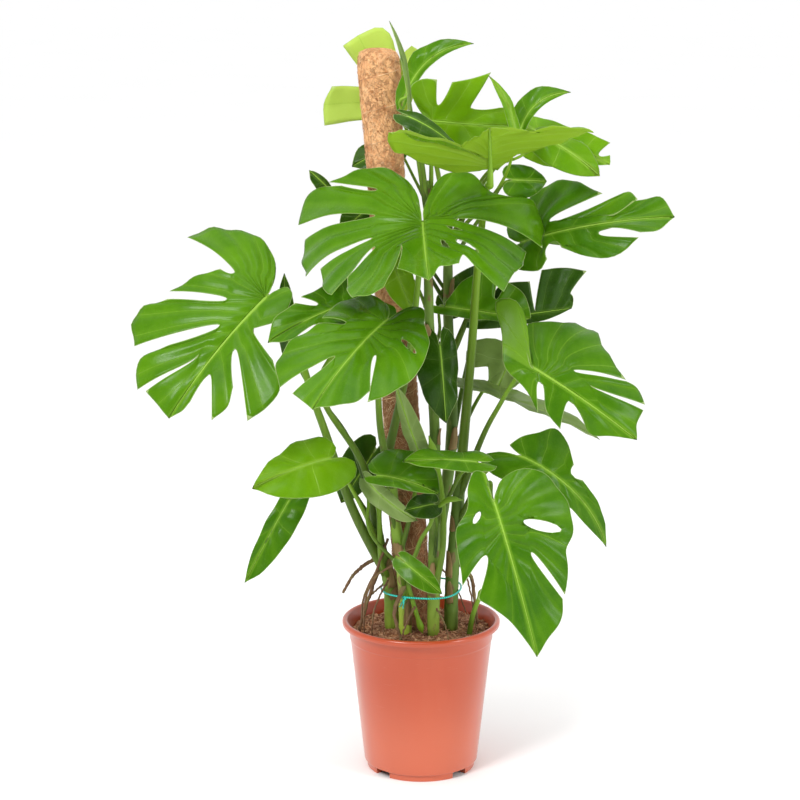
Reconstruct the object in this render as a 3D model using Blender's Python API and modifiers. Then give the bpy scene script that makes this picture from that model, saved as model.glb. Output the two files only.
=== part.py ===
"""A potted monstera climbing a coir pole. Metres, +Z up, the pot stands on z = 0 with its axis on Z."""

import math

import bmesh
import bpy
import numpy as np
from mathutils import Matrix, Vector

# Pot
POT_HEIGHT = 0.232
RIM_RADIUS = 0.120
RIM_HEIGHT = 0.009
NECK_RADIUS = 0.1085
BASE_RADIUS = 0.0862
FOOT_RADIUS = 0.0825
FOOT_HEIGHT = 0.010
FOOT_WIDTH = 0.010
WALL = 0.0028
POT_SEGMENTS = 36
NOTCH_ANGLE = 19.0
NOTCH_HEIGHT = 0.013

# Soil
SOIL_TOP = 0.216
SOIL_MOUND = 0.004
GAP = 0.0004

# Climbing pole
POLE_FOOT = Vector((0.003, 0.014, 0.012))
POLE_LEAN = Vector((-0.0625, 0.006, 1.0))
STAKE_RADIUS = 0.011
SLEEVE_BOTTOM = 0.2225
SLEEVE_TOP = 1.086
SLEEVE_RADIUS = 0.0270

# String tied round the stems
TIE_RADIUS = 0.0605
TIE_HEIGHT = 0.280
TIE_THICKNESS = 0.0012

# Leaves
BLADE_THICKNESS = 0.0012
RIB_HALF_WIDTH = 0.0014
SLIT_HALF_WIDTH = 0.02
STALK_BEND = 0.014

# Outline of an unsplit half leaf: share of the half width, share of the length.
HEART = [(0.10, -0.15), (0.32, -0.24), (0.68, -0.18), (0.93, 0.02), (1.0, 0.28), (0.86, 0.56), (0.50, 0.83),
         (0.0, 1.0)]

# Each leaf: where its stalk joins the blade, where its tip is, and the way its upper face looks
# (degrees round from the front, degrees up). wide: half widths, left and right, as a share of the length.
# bend: rise of the arched midrib. fold and curl: degrees of tilt at the midrib and of droop to the margin.
# A split half is a list of finger ends, from the stalk to the tip, with the inner end of each slit between.
# gap: half the width of its slits, as a share of the length.
LEAVES = {
    "leaf_left_large": dict(
        tone="mid", joint=(-0.223, -0.060, 0.736), tip=(-0.361, -0.140, 0.572), face=(-15, 35),
        wide=(0.62, 0.72), bend=0.06, fold=(6, 6), curl=(-25, -25),
        left=[[(0.03, -0.07), (0.06, -0.12), (0.12, -0.10), (0.17, -0.02), (0.19, 0.12)], (0.10, 0.24),
              [(0.34, 0.34), (0.50, 0.48), (0.49, 0.62), (0.45, 0.74)], (0.10, 0.42),
              [(0.25, 0.62), (0.29, 0.74), (0.26, 0.86)], (0.07, 0.64), [(0.07, 0.84), (0.05, 0.91), (0, 1)]],
        right=[[(0.05, -0.10), (0.11, -0.20), (0.24, -0.29), (0.39, -0.33), (0.58, -0.29), (0.74, -0.22),
                (0.81, -0.10)], (0.28, 0), [(0.37, 0.03), (0.45, 0.12), (0.55, 0.33)], (0.18, 0.18),
               [(0.52, 0.38), (0.65, 0.52), (0.63, 0.63), (0.49, 0.75)], (0.09, 0.35),
               [(0.28, 0.62), (0.39, 0.81), (0.37, 0.88), (0.28, 0.96)], (0.08, 0.57),
               [(0.22, 0.94), (0.10, 0.97), (0, 1)]]),
    "leaf_front_large": dict(
        tone="mid", joint=(0.0, -0.100, 0.850), tip=(0.007, -0.260, 0.789), face=(0, 62),
        wide=(1.0, 1.0), bend=-0.05, fold=(4, 4), curl=(-50, -50),
        left=[[(0.04, -0.20), (0.12, -0.42), (0.26, -0.55), (0.42, -0.56), (0.65, -0.42), (0.95, -0.50),
               (1.20, -0.52), (1.26, -0.42), (1.16, -0.13)], (0.27, 0.0),
              [(0.92, 0.09), (0.88, 0.26), (0.76, 0.48), (0.60, 1.0)], (0.30, 0.49),
              [(0.26, 0.64), (0.14, 0.72), (0, 1)]],
        right=[[(0.04, -0.20), (0.08, -0.42), (0.22, -0.60), (0.48, -0.66), (0.80, -0.64)], (0.36, -0.39),
               [(0.68, -0.56), (0.92, -0.64), (1.08, -0.60), (1.17, -0.42)], (0.39, -0.11),
               [(1.08, -0.22), (1.15, -0.10), (1.09, 0.17)], (0.42, 0.18),
               [(0.90, 0.26), (0.88, 0.55), (0.79, 0.79)], (0.40, 0.32),
               [(0.65, 0.60), (0.66, 0.82), (0.54, 1.10), (0.36, 1.05)], (0.19, 0.35),
               [(0.24, 0.72), (0.10, 0.85), (0, 1)]]),
    "leaf_front_left": dict(
        tone="mid", joint=(-0.049, -0.160, 0.719), tip=(-0.151, -0.280, 0.615), face=(-20, 45),
        wide=(0.50, 0.52), bend=0.06, fold=(8, 8), curl=(-25, -25),
        right=[[(0.06, -0.10), (0.16, -0.18), (0.32, -0.18), (0.44, -0.04), (0.46, 0.12), (0.42, 0.24)],
               (0.22, 0.22), [(0.41, 0.30), (0.52, 0.55), (0.50, 0.74), (0.32, 0.94)], (0.10, 0.54),
               [(0.20, 0.95), (0.10, 0.97), (0, 1)]],
        left=[[(0.02, -0.10), (0.05, -0.22), (0.16, -0.22), (0.29, -0.05), (0.42, 0.08), (0.47, 0.19),
               (0.52, 0.42), (0.46, 0.64), (0.35, 0.79)], (0.17, 0.41),
              [(0.32, 0.70), (0.26, 0.82), (0, 1)]]),
    "leaf_right_large": dict(
        tone="mid", joint=(0.158, -0.120, 0.642), tip=(0.306, -0.140, 0.541), face=(12, 25),
        wide=(0.62, 0.62), bend=0.05, fold=(-5, -20), curl=(-35, -15),
        left=[[(0.05, -0.09), (0.17, -0.18), (0.36, -0.25), (0.45, -0.12), (0.69, 0.09), (0.74, 0.21),
               (0.54, 0.40), (0.37, 0.67)], (0.16, 0.28), [(0.36, 0.68), (0.39, 0.79), (0.29, 0.91)],
              (0.12, 0.45), [(0.24, 0.92), (0.10, 0.94), (0, 1)]],
        right=[[(-0.10, -0.15), (-0.34, -0.28), (-0.40, -0.42), (-0.34, -0.52), (-0.12, -0.36), (0.12, -0.18),
                (0.17, 0.02), (0.28, 0.23)], (0.07, 0.10), [(0.12, 0.18), (0.23, 0.27), (0.29, 0.45)],
               (0.07, 0.38), [(0.12, 0.55), (0.19, 0.67), (0.11, 0.80), (0, 1)]]),
    "leaf_right_low": dict(
        tone="mid", joint=(0.100, -0.200, 0.467), tip=(0.161, -0.240, 0.250), face=(8, 20),
        wide=(0.47, 0.33), bend=0.05, fold=(0, 0), curl=(-25, -25),
        left=[[(0.03, -0.05), (0.07, -0.10), (0.17, -0.14), (0.30, -0.13), (0.45, 0.05), (0.47, 0.23),
               (0.43, 0.34), (0.36, 0.42), (0.32, 0.59), (0.27, 0.68)], (0.13, 0.37),
              [(0.25, 0.70), (0.23, 0.79), (0.10, 0.90), (0, 1)]],
        right=[[(0.01, -0.10), (0.0, -0.18), (0.05, -0.21), (0.12, -0.14), (0.17, 0), (0.27, 0.10),
                (0.31, 0.30), (0.33, 0.45)], (0.14, 0.31),
               [(0.26, 0.55), (0.13, 0.70), (0.04, 0.89), (0, 1)]]),
    "leaf_right_high": dict(
        tone="mid", joint=(0.147, 0.045, 0.799), tip=(0.363, -0.050, 0.849), face=(0, 35),
        wide=(0.40, 0.22), bend=0.07, fold=(0, 0), curl=(-15, -15),
        gap=0.035,
        left=[[(0.05, -0.08), (0.14, -0.12), (0.26, -0.02), (0.36, 0.14), (0.38, 0.26), (0.35, 0.36),
               (0.29, 0.44), (0.20, 0.56)], (0.07, 0.23), [(0.17, 0.66), (0.20, 0.72), (0.13, 0.78)],
              (0.05, 0.59), [(0.12, 0.75), (0.13, 0.92), (0, 1)]],
        right=[[(0.04, -0.10), (0.12, -0.08), (0.20, 0.05), (0.21, 0.14), (0.16, 0.20)], (0.07, 0.22),
               [(0.11, 0.30), (0.20, 0.48), (0.22, 0.64), (0.12, 0.79)], (0.05, 0.55),
               [(0.09, 0.80), (0.08, 0.90), (0, 1)]]),
    "leaf_left_shaded": dict(
        tone="mid", joint=(-0.090, -0.060, 0.730), tip=(-0.220, -0.120, 0.678), face=(-25, 40),
        wide=(0.45, 0.45), bend=0.06, fold=(14, 14), curl=(-20, -20),
        right=[[(0.04, -0.12), (0.12, -0.20), (0.24, -0.14), (0.30, 0.10), (0.28, 0.30), (0.24, 0.50)],
               (0.10, 0.40), [(0.20, 0.58), (0.16, 0.84), (0, 1)]],
        left=[[(0.05, -0.12), (0.18, -0.24), (0.40, -0.15), (0.48, 0.2), (0.40, 0.55), (0.28, 0.72)],
              (0.14, 0.55), [(0.18, 0.80), (0.10, 0.9), (0, 1)]]),
    "leaf_right_folded": dict(
        tone="mid", joint=(0.143, -0.100, 0.508), tip=(0.273, -0.060, 0.360), face=(35, 50),
        wide=(0.28, 0.30), bend=0.13, fold=(35, -40), curl=(20, -10),
        left=[[(0.04, -0.10), (0.12, -0.05), (0.20, 0.04), (0.28, 0.12), (0.24, 0.22), (0.14, 0.34)],
              (0.08, 0.36), [(0.10, 0.45), (0.08, 0.70), (0, 1)]],
        right=[[(0.03, -0.16), (0.10, -0.28), (0.16, -0.22), (0.20, -0.05), (0.16, 0.18), (0.11, 0.45),
                (0.07, 0.78), (0, 1)]]),
    "leaf_heart_left": dict(
        tone="bright", joint=(-0.130, -0.100, 0.505), tip=(-0.244, -0.140, 0.469), face=(-10, 42),
        wide=(0.42, 0.42), bend=0.07, fold=(10, 10), curl=(-45, -45),
        right=[[(0.05, -0.06), (0.16, -0.12), (0.30, -0.06), (0.38, 0.10), (0.37, 0.32), (0.26, 0.60),
                (0.12, 0.85), (0, 1)]]),
    "leaf_hanging_left": dict(
        tone="mid", joint=(-0.195, -0.020, 0.425), tip=(-0.264, -0.040, 0.299), face=(-20, 15),
        wide=(0.22, 0.10), bend=0.02, fold=(10, 20), curl=(-20, -20)),
    "leaf_behind_left": dict(
        tone="dark", joint=(-0.072, 0.060, 0.476), tip=(-0.122, 0.060, 0.396), face=(10, 10),
        wide=(0.25, 0.40), bend=0.02, fold=(10, 10), curl=(-20, -20)),
    "leaf_low_front": dict(
        tone="mid", joint=(-0.065, -0.120, 0.484), tip=(0.025, -0.160, 0.466), face=(-5, 45),
        wide=(0.55, 0.14), bend=0.10, fold=(10, -10), curl=(-40, -40)),
    "leaf_low_cross": dict(
        tone="mid", joint=(0.079, -0.160, 0.513), tip=(-0.029, -0.200, 0.523), face=(0, 60),
        wide=(0.18, 0.22), bend=0.04, fold=(10, 10), curl=(-40, -40)),
    "leaf_young_upright": dict(
        tone="pale", joint=(-0.004, -0.060, 0.504), tip=(-0.038, -0.100, 0.613), face=(-10, 5),
        wide=(0.10, 0.14), bend=0.04, fold=(0, 0), curl=(-20, -20)),
    "leaf_centre_hanging": dict(
        tone="dark", joint=(0.026, -0.050, 0.662), tip=(0.035, -0.070, 0.550), face=(5, 15),
        wide=(0.22, 0.34), bend=0.04, fold=(-10, -20), curl=(-20, -20)),
    "leaf_top_back": dict(
        tone="bright", joint=(-0.032, 0.060, 1.064), tip=(-0.062, 0.090, 0.954), face=(-10, -10),
        wide=(0.30, 0.72), bend=0.04, fold=(5, 5), curl=(10, 10),
        right=[[(0.10, -0.12), (0.20, -0.28), (0.34, -0.34), (0.55, -0.20), (0.74, 0.0)], (0.22, 0.41),
               [(0.74, 0.50), (0.78, 0.75), (0.71, 1.03)], (0.10, 0.80),
               [(0.14, 0.88), (0.08, 0.96), (0, 1)]]),
    "leaf_top_curved": dict(
        tone="mid", joint=(-0.022, -0.020, 1.026), tip=(0.073, -0.040, 1.095), face=(-10, 30),
        wide=(0.20, 0.08), bend=0.05, fold=(6, 6), curl=(-20, -20), sway=-0.15),
    "leaf_top_spear": dict(
        tone="pale", joint=(-0.021, -0.070, 1.022), tip=(-0.047, -0.100, 1.129), face=(60, 10),
        wide=(0.07, 0.07), bend=0.02, fold=(20, 20), curl=(0, 0), sway=0.04),
    "leaf_top_bright": dict(
        tone="bright", joint=(0.012, -0.040, 0.986), tip=(0.142, 0.0, 0.975), face=(-5, -10),
        wide=(0.45, 0.25), bend=0.04, fold=(0, 0), curl=(-10, -10),
        left=[[(0.06, -0.10), (0.20, -0.21), (0.34, -0.26), (0.43, -0.14), (0.44, 0.0)], (0.18, 0.05),
              [(0.43, 0.16), (0.48, 0.36), (0.56, 0.58)], (0.18, 0.40),
              [(0.17, 0.62), (0.19, 0.80), (0.10, 0.95), (0, 1)]]),
    "leaf_top_wide": dict(
        tone="bright", joint=(0.096, -0.080, 0.921), tip=(0.087, -0.270, 0.995), face=(180, 74),
        wide=(0.70, 0.70), bend=0.04, fold=(0, 0), curl=(-10, -10),
        left=[[(0.05, -0.04), (0.12, 0.12), (0.27, 0.32), (0.43, 0.52), (0.54, 0.80), (0.64, 1.35),
               (0.40, 1.10)], (0.26, 0.82), [(0.14, 0.90), (0.07, 0.95), (0, 1)]],
        right=[[(0.07, -0.05), (0.24, -0.04), (0.41, 0.11), (0.58, 0.35), (0.66, 0.60), (0.67, 0.90),
                (0.62, 1.22), (0.48, 0.70)], (0.22, 0.34), [(0.17, 0.46), (0.09, 0.66), (0, 1)]]),
    "leaf_top_right_upright": dict(
        tone="mid", joint=(0.139, -0.050, 0.972), tip=(0.210, -0.060, 1.028), face=(-10, 25),
        wide=(0.28, 0.10), bend=0.06, fold=(0, 0), curl=(-20, -20), sway=-0.17),
    "leaf_top_right_curl": dict(
        tone="bright", joint=(0.132, -0.080, 0.964), tip=(0.093, -0.080, 1.052), face=(30, 10),
        wide=(0.10, 0.10), bend=0.06, fold=(10, 10), curl=(-30, -30), sway=0.06),
    "leaf_top_right_far": dict(
        tone="bright", joint=(0.155, 0.020, 0.971), tip=(0.273, 0.0, 0.919), face=(0, 15),
        wide=(0.26, 0.30), bend=0.10, fold=(-10, -10), curl=(-20, -20),
        left=[[(0.03, -0.08), (0.12, -0.06), (0.17, 0.15), (0.20, 0.44), (0.24, 0.70), (0.24, 0.92)],
              (0.04, 0.84), [(0.10, 0.96), (0, 1)]],
        right=[[(0.03, -0.08), (0.2, -0.12), (0.30, 0.0), (0.32, 0.3), (0.25, 0.65)], (0.08, 0.5),
               [(0.12, 0.75), (0.08, 0.85), (0, 1)]]),
    "leaf_top_right_near": dict(
        tone="bright", joint=(0.177, -0.020, 0.960), tip=(0.256, -0.030, 0.906), face=(0, 30),
        wide=(0.32, 0.32), bend=0.10, fold=(-10, -10), curl=(-30, -30)),
    "leaf_upper_shaded": dict(
        tone="mid", joint=(0.131, 0.0, 0.897), tip=(0.183, 0.020, 0.893), face=(0, 20),
        wide=(0.50, 0.50), bend=0.02, fold=(-10, -10), curl=(-20, -20)),
    "leaf_right_back": dict(
        tone="dark", joint=(0.091, 0.050, 0.683), tip=(0.226, 0.060, 0.698), face=(-5, 0),
        wide=(0.45, 0.12), bend=0.03, fold=(0, 0), curl=(0, 0),
        left=[[(0.04, -0.05), (0.12, 0.02), (0.24, 0.12), (0.36, 0.25), (0.37, 0.40), (0.36, 0.56)],
              (0.03, 0.59), [(0.47, 0.70), (0.46, 0.95), (0.39, 1.20)], (0.16, 1.0), [(0.10, 1.02), (0, 1)]]),
    "leaf_right_under": dict(
        tone="pale", joint=(0.141, 0.085, 0.626), tip=(0.110, 0.085, 0.558), face=(0, 5),
        wide=(0.4, 0.85), bend=0.04, fold=(0, 0), curl=(-10, -10),
        right=[[(0.10, -0.10), (0.45, -0.10), (0.87, 0.22), (0.86, 0.50), (0.70, 0.70)], (0.35, 0.50),
               [(0.28, 0.62), (0.16, 0.85), (0, 1)]]),
    "leaf_right_level": dict(
        tone="pale", joint=(0.072, 0.015, 0.585), tip=(0.266, 0.0, 0.509), face=(0, 84),
        wide=(0.22, 0.12), bend=0.04, fold=(6, 6), curl=(-10, -10)),
    "leaf_bottom_small": dict(
        tone="mid", joint=(-0.025, -0.120, 0.354), tip=(0.029, -0.140, 0.312), face=(-10, 30),
        wide=(0.22, 0.28), bend=0.05, fold=(8, 8), curl=(-20, -20)),
    "leaf_low_pale": dict(
        tone="pale", joint=(-0.076, -0.075, 0.460), tip=(-0.006, -0.115, 0.415), face=(0, -20),
        wide=(0.16, 0.24), bend=0.08, fold=(0, 0), curl=(-20, -20)),
    "leaf_low_shaded": dict(
        tone="dark", joint=(0.017, -0.100, 0.436), tip=(-0.026, -0.120, 0.431), face=(0, 30),
        wide=(0.45, 0.40), bend=0.05, fold=(10, 10), curl=(-20, -20)),
    "leaf_pole_left": dict(
        tone="dark", joint=(-0.039, 0.065, 0.937), tip=(-0.103, 0.060, 0.910), face=(-10, 35),
        wide=(0.35, 0.45), bend=0.08, fold=(8, 8), curl=(-40, -40)),
    "leaf_pole_right": dict(
        tone="dark", joint=(-0.021, -0.085, 0.996), tip=(0.051, -0.095, 0.950), face=(10, 40),
        wide=(0.16, 0.22), bend=0.08, fold=(8, 8), curl=(-40, -40)),
    "leaf_left_back": dict(
        tone="dark", joint=(-0.196, 0.0, 0.653), tip=(-0.202, 0.0, 0.760), face=(-10, 5),
        wide=(0.14, 0.14), bend=0.03, fold=(4, 4), curl=(-10, -10)),
    "leaf_behind_front": dict(
        tone="dark", joint=(-0.074, 0.055, 0.854), tip=(-0.120, 0.050, 0.813), face=(0, 20),
        wide=(0.40, 0.45), bend=0.04, fold=(6, 6), curl=(-20, -20)),
    "leaf_left_curl": dict(
        tone="dark", joint=(-0.139, 0.030, 0.883), tip=(-0.165, 0.020, 0.909), face=(10, 20),
        wide=(0.35, 0.20), bend=0.04, fold=(6, 6), curl=(-20, -20)),
    "leaf_inner_light": dict(
        tone="mid", joint=(0.033, 0.012, 0.709), tip=(0.163, 0.028, 0.687), face=(0, 12),
        wide=(0.45, 0.10), bend=0.03, fold=(0, 0), curl=(-10, -20),
        left=[[(0.04, 0.0), (0.10, 0.04), (0.32, 0.18), (0.42, 0.38), (0.34, 0.56)], (0.16, 0.56),
              [(0.38, 0.66), (0.30, 0.84), (0.14, 0.95), (0, 1)]]),
    "leaf_inner_young": dict(
        tone="bright", joint=(-0.042, -0.034, 0.782), tip=(-0.010, -0.050, 0.705), face=(-20, 10),
        wide=(0.26, 0.30), bend=0.05, fold=(8, 8), curl=(-20, -20)),
    "leaf_inner_back": dict(
        tone="dark", joint=(0.047, 0.090, 0.701), tip=(0.124, 0.100, 0.762), face=(0, 15),
        wide=(0.30, 0.26), bend=0.05, fold=(0, 0), curl=(-20, -20)),
}

# Each plant: the line of its main stem, its foot radius and its top radius, then for each leaf
# the height where its stalk leaves the stem, the stalk's foot radius, and points it passes on the way.
# shoots: bare side stalks, each a foot radius and its line. roots: the lines of the aerial roots.
PLANTS = {
    "plant_left": dict(
        stem=[(-0.045, -0.008, 0.2212), (-0.048, -0.009, 0.29), (-0.066, -0.006, 0.36),
              (-0.074, 0.004, 0.43)],
        radii=(0.0100, 0.0095),
        stalks={
            "leaf_left_large": (0.30, 0.0085, [(-0.098, -0.030, 0.400), (-0.152, -0.045, 0.560)]),
            "leaf_left_back": (0.39, 0.0040, [(-0.110, 0.015, 0.510), (-0.180, 0.018, 0.610)]),
            "leaf_left_shaded": (0.36, 0.0065, [(-0.085, -0.020, 0.470), (-0.150, -0.030, 0.600)]),
            "leaf_heart_left": (0.34, 0.0045, [(-0.088, -0.060, 0.420)]),
            "leaf_hanging_left": (0.38, 0.0035, [(-0.130, -0.010, 0.452)]),
            "leaf_behind_left": (0.36, 0.0040, [(-0.070, 0.072, 0.440)]),
        },
        shoots=[(0.0045, [(-0.050, -0.014, 0.300), (-0.060, -0.032, 0.332), (-0.062, -0.040, 0.378),
                          (-0.064, -0.040, 0.440)])],
        roots=[[(-0.066, -0.006, 0.330), (-0.100, -0.010, 0.305), (-0.118, -0.012, 0.275)],
               [(-0.060, -0.010, 0.325), (-0.082, -0.030, 0.262), (-0.094, -0.036, 0.224)]]),
    "plant_front": dict(
        stem=[(-0.024, -0.040, 0.2212), (-0.026, -0.040, 0.29), (-0.040, -0.034, 0.40),
              (-0.050, -0.030, 0.52)],
        radii=(0.0095, 0.0075),
        stalks={
            "leaf_front_large": (0.50, 0.0070, [(-0.020, -0.060, 0.640), (-0.006, -0.080, 0.760)]),
            "leaf_front_left": (0.44, 0.0065, [(-0.062, -0.080, 0.560), (-0.060, -0.120, 0.650)]),
            "leaf_low_front": (0.36, 0.0040, [(-0.048, -0.050, 0.430), (-0.056, -0.085, 0.477)]),
            "leaf_low_pale": (0.32, 0.0035, [(-0.080, -0.070, 0.400)]),
            "leaf_bottom_small": (0.29, 0.0035, [(-0.030, -0.080, 0.330)]),
            "leaf_young_upright": (0.34, 0.0045, [(-0.012, -0.055, 0.430)]),
        },
        shoots=[(0.0035, [(-0.026, -0.044, 0.330), (-0.012, -0.066, 0.345), (-0.001, -0.082, 0.378),
                          (0.012, -0.095, 0.404), (0.021, -0.098, 0.427), (0.039, -0.093, 0.441),
                          (0.060, -0.084, 0.438)]),
                (0.0040, [(-0.027, -0.044, 0.322), (-0.012, -0.052, 0.270), (0.002, -0.052, 0.2235)])],
        roots=[[(-0.024, -0.045, 0.300), (-0.040, -0.075, 0.262), (-0.030, -0.082, 0.223)]]),
    "plant_centre": dict(
        stem=[(0.018, -0.042, 0.2212), (0.018, -0.042, 0.29), (0.020, -0.030, 0.50), (0.010, -0.032, 0.72),
              (0.008, -0.034, 0.90)],
        radii=(0.0090, 0.0060),
        stalks={
            "leaf_centre_hanging": (0.60, 0.0040, [(0.022, -0.036, 0.640)]),
            "leaf_inner_light": (0.64, 0.0035, [(0.026, -0.006, 0.672)]),
            "leaf_inner_young": (0.70, 0.0030, [(-0.010, -0.030, 0.750)]),
            "leaf_low_cross": (0.38, 0.0040, [(0.060, -0.080, 0.480)]),
            "leaf_low_shaded": (0.32, 0.0035, [(0.022, -0.065, 0.400)]),
            "leaf_top_spear": (0.86, 0.0040, [(-0.010, -0.060, 0.970)]),
            "leaf_top_curved": (0.84, 0.0045, [(-0.012, -0.022, 0.970)]),
            "leaf_pole_right": (0.84, 0.0035, [(-0.008, -0.055, 0.950)]),
            "leaf_top_bright": (0.82, 0.0045, [(0.012, -0.030, 0.940)]),
        },
        shoots=[(0.0050, [(0.020, -0.046, 0.290), (0.031, -0.058, 0.355), (0.026, -0.066, 0.465),
                          (0.018, -0.072, 0.502), (0.010, -0.078, 0.533)])],
        roots=[]),
    "plant_right": dict(
        stem=[(0.045, -0.012, 0.2212), (0.046, -0.014, 0.29), (0.052, -0.016, 0.38), (0.058, -0.012, 0.46)],
        radii=(0.0105, 0.0090),
        stalks={
            "leaf_top_wide": (0.44, 0.0085, [(0.072, -0.030, 0.640), (0.086, -0.008, 0.820),
                                             (0.094, -0.006, 0.886)]),
            "leaf_right_low": (0.36, 0.0045, [(0.082, -0.080, 0.440), (0.098, -0.160, 0.480)]),
            "leaf_right_large": (0.42, 0.0055, [(0.105, -0.060, 0.560)]),
            "leaf_right_folded": (0.38, 0.0045, [(0.100, -0.060, 0.480)]),
            "leaf_right_level": (0.43, 0.0035, [(0.066, 0.015, 0.555)]),
        },
        shoots=[],
        roots=[[(0.047, -0.014, 0.330), (0.072, -0.011, 0.305), (0.081, -0.008, 0.262),
                (0.085, -0.006, 0.224)]]),
    "plant_back": dict(
        stem=[(0.018, 0.040, 0.2212), (0.022, 0.042, 0.30), (0.046, 0.050, 0.50), (0.040, 0.060, 0.70),
              (0.040, 0.056, 0.86)],
        radii=(0.0100, 0.0065),
        stalks={
            "leaf_right_back": (0.46, 0.0050, [(0.070, 0.072, 0.610)]),
            "leaf_right_under": (0.46, 0.0040, [(0.090, 0.080, 0.560)]),
            "leaf_inner_back": (0.60, 0.0040, [(0.046, 0.100, 0.672)]),
            "leaf_right_high": (0.62, 0.0055, [(0.100, 0.055, 0.740)]),
            "leaf_upper_shaded": (0.76, 0.0040, [(0.100, 0.020, 0.860)]),
            "leaf_top_right_far": (0.80, 0.0040, [(0.120, 0.040, 0.930)]),
            "leaf_top_right_near": (0.78, 0.0035, [(0.108, 0.026, 0.915), (0.143, -0.004, 0.932),
                                                   (0.166, -0.003, 0.947)]),
            "leaf_top_right_upright": (0.82, 0.0040, [(0.110, 0.000, 0.920)]),
            "leaf_top_right_curl": (0.80, 0.0035, [(0.112, 0.006, 0.885), (0.128, -0.045, 0.935)]),
            "leaf_top_back": (0.82, 0.0045, [(0.010, 0.070, 0.960)]),
            "leaf_behind_front": (0.70, 0.0035, [(-0.010, 0.070, 0.780), (-0.055, 0.070, 0.835)]),
            "leaf_left_curl": (0.72, 0.0030, [(-0.020, 0.075, 0.800), (-0.110, 0.060, 0.870)]),
            "leaf_pole_left": (0.78, 0.0035, [(-0.010, 0.072, 0.890)]),
        },
        shoots=[],
        roots=[]),
}

LEAF_COLOURS = {
    "mid": (0.085, 0.24, 0.025, 1.0),
    "bright": (0.22, 0.42, 0.03, 1.0),
    "dark": (0.035, 0.11, 0.02, 1.0),
    "pale": (0.26, 0.36, 0.15, 1.0),
}
STEM_GREEN = (0.16, 0.32, 0.04, 1.0)


def clear_scene():
    for obj in list(bpy.data.objects):
        bpy.data.objects.remove(obj)


def collection_named(name, shown):
    made = bpy.data.collections.new(name)
    bpy.context.scene.collection.children.link(made)
    made.hide_render = not shown
    return made


def material(name, colour, roughness, metallic=0.0):
    made = bpy.data.materials.new(name)
    made.use_nodes = True
    shader = made.node_tree.nodes["Principled BSDF"]
    shader.inputs["Base Color"].default_value = colour
    shader.inputs["Roughness"].default_value = roughness
    shader.inputs["Metallic"].default_value = metallic
    return made


def mesh_object(name, mesh, collection, surface):
    obj = bpy.data.objects.new(name, mesh)
    collection.objects.link(obj)
    if surface is not None:
        mesh.materials.clear()
        mesh.materials.append(surface)
    mesh.shade_smooth()
    return obj


def as_cutter(obj):
    obj.hide_render = True
    obj.display_type = "WIRE"


def turned(name, profile, segments, collection, surface):
    """A closed body turned from (radius, height) points, from the axis down the outer side and back."""
    mesh = bpy.data.meshes.new(name)
    mesh.from_pydata([(radius, 0.0, height) for radius, height in profile],
                     [(i, i + 1) for i in range(len(profile) - 1)], [])
    obj = mesh_object(name, mesh, collection, surface)
    screw = obj.modifiers.new("Turn", "SCREW")
    screw.steps = segments
    screw.render_steps = segments
    screw.use_merge_vertices = True
    screw.merge_threshold = 0.0001
    return obj


def smooth_line(points, count):
    """Evenly spaced points along a smooth curve through the given ones."""
    given = np.array(points, float)
    if len(given) == 2:
        return given[0] + (given[1] - given[0]) * np.linspace(0, 1, count)[:, None]
    knots = np.concatenate([[0], np.cumsum(np.linalg.norm(np.diff(given, axis=0), axis=1))])
    tangents = np.gradient(given, knots, axis=0)
    along = np.linspace(0, knots[-1], count)
    i = np.clip(np.searchsorted(knots, along, side="right") - 1, 0, len(given) - 2)
    span = (knots[i + 1] - knots[i])[:, None]
    s = (along - knots[i])[:, None] / span
    return ((2 * s**3 - 3 * s**2 + 1) * given[i] + (s**3 - 2 * s**2 + s) * span * tangents[i]
            + (-2 * s**3 + 3 * s**2) * given[i + 1] + (s**3 - s**2) * span * tangents[i + 1])


def bezier(a, b, c, d, s):
    s = np.asarray(s, float)[:, None]
    return (1 - s)**3 * a + 3 * s * (1 - s)**2 * b + 3 * s * s * (1 - s) * c + s**3 * d


def tube(name, points, radii, collection, surface, resolution=1):
    """A round stalk along the points, with closed ends."""
    curve = bpy.data.curves.new(name, "CURVE")
    curve.dimensions = "3D"
    curve.bevel_depth = 1.0
    curve.bevel_resolution = resolution
    curve.use_fill_caps = True
    spline = curve.splines.new("POLY")
    spline.points.add(len(points) - 1)
    for point, place, radius in zip(spline.points, points, radii):
        point.co = (*place, 1.0)
        point.radius = radius
    helper = bpy.data.objects.new(name + "_line", curve)
    bpy.context.scene.collection.objects.link(helper)
    graph = bpy.context.evaluated_depsgraph_get()
    mesh = bpy.data.meshes.new_from_object(helper.evaluated_get(graph))
    bpy.data.objects.remove(helper)
    bm = bmesh.new()
    bm.from_mesh(mesh)
    bmesh.ops.remove_doubles(bm, verts=bm.verts, dist=1e-6)
    bmesh.ops.recalc_face_normals(bm, faces=bm.faces)
    bm.to_mesh(mesh)
    bm.free()
    return mesh_object(name, mesh, collection, surface)


def leaf_frame(leaf):
    """Joint, chord length, and the directions to the tip, to the right and off the upper face."""
    joint = np.array(leaf["joint"], float)
    reach = np.array(leaf["tip"], float) - joint
    length = np.linalg.norm(reach)
    ahead = reach / length
    turn, rise = (math.radians(angle) for angle in leaf["face"])
    off = np.array([math.sin(turn) * math.cos(rise), -math.cos(turn) * math.cos(rise), math.sin(rise)])
    off = off - (off @ ahead) * ahead
    off = off / np.linalg.norm(off)
    return joint, length, ahead, np.cross(ahead, off), off


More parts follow.
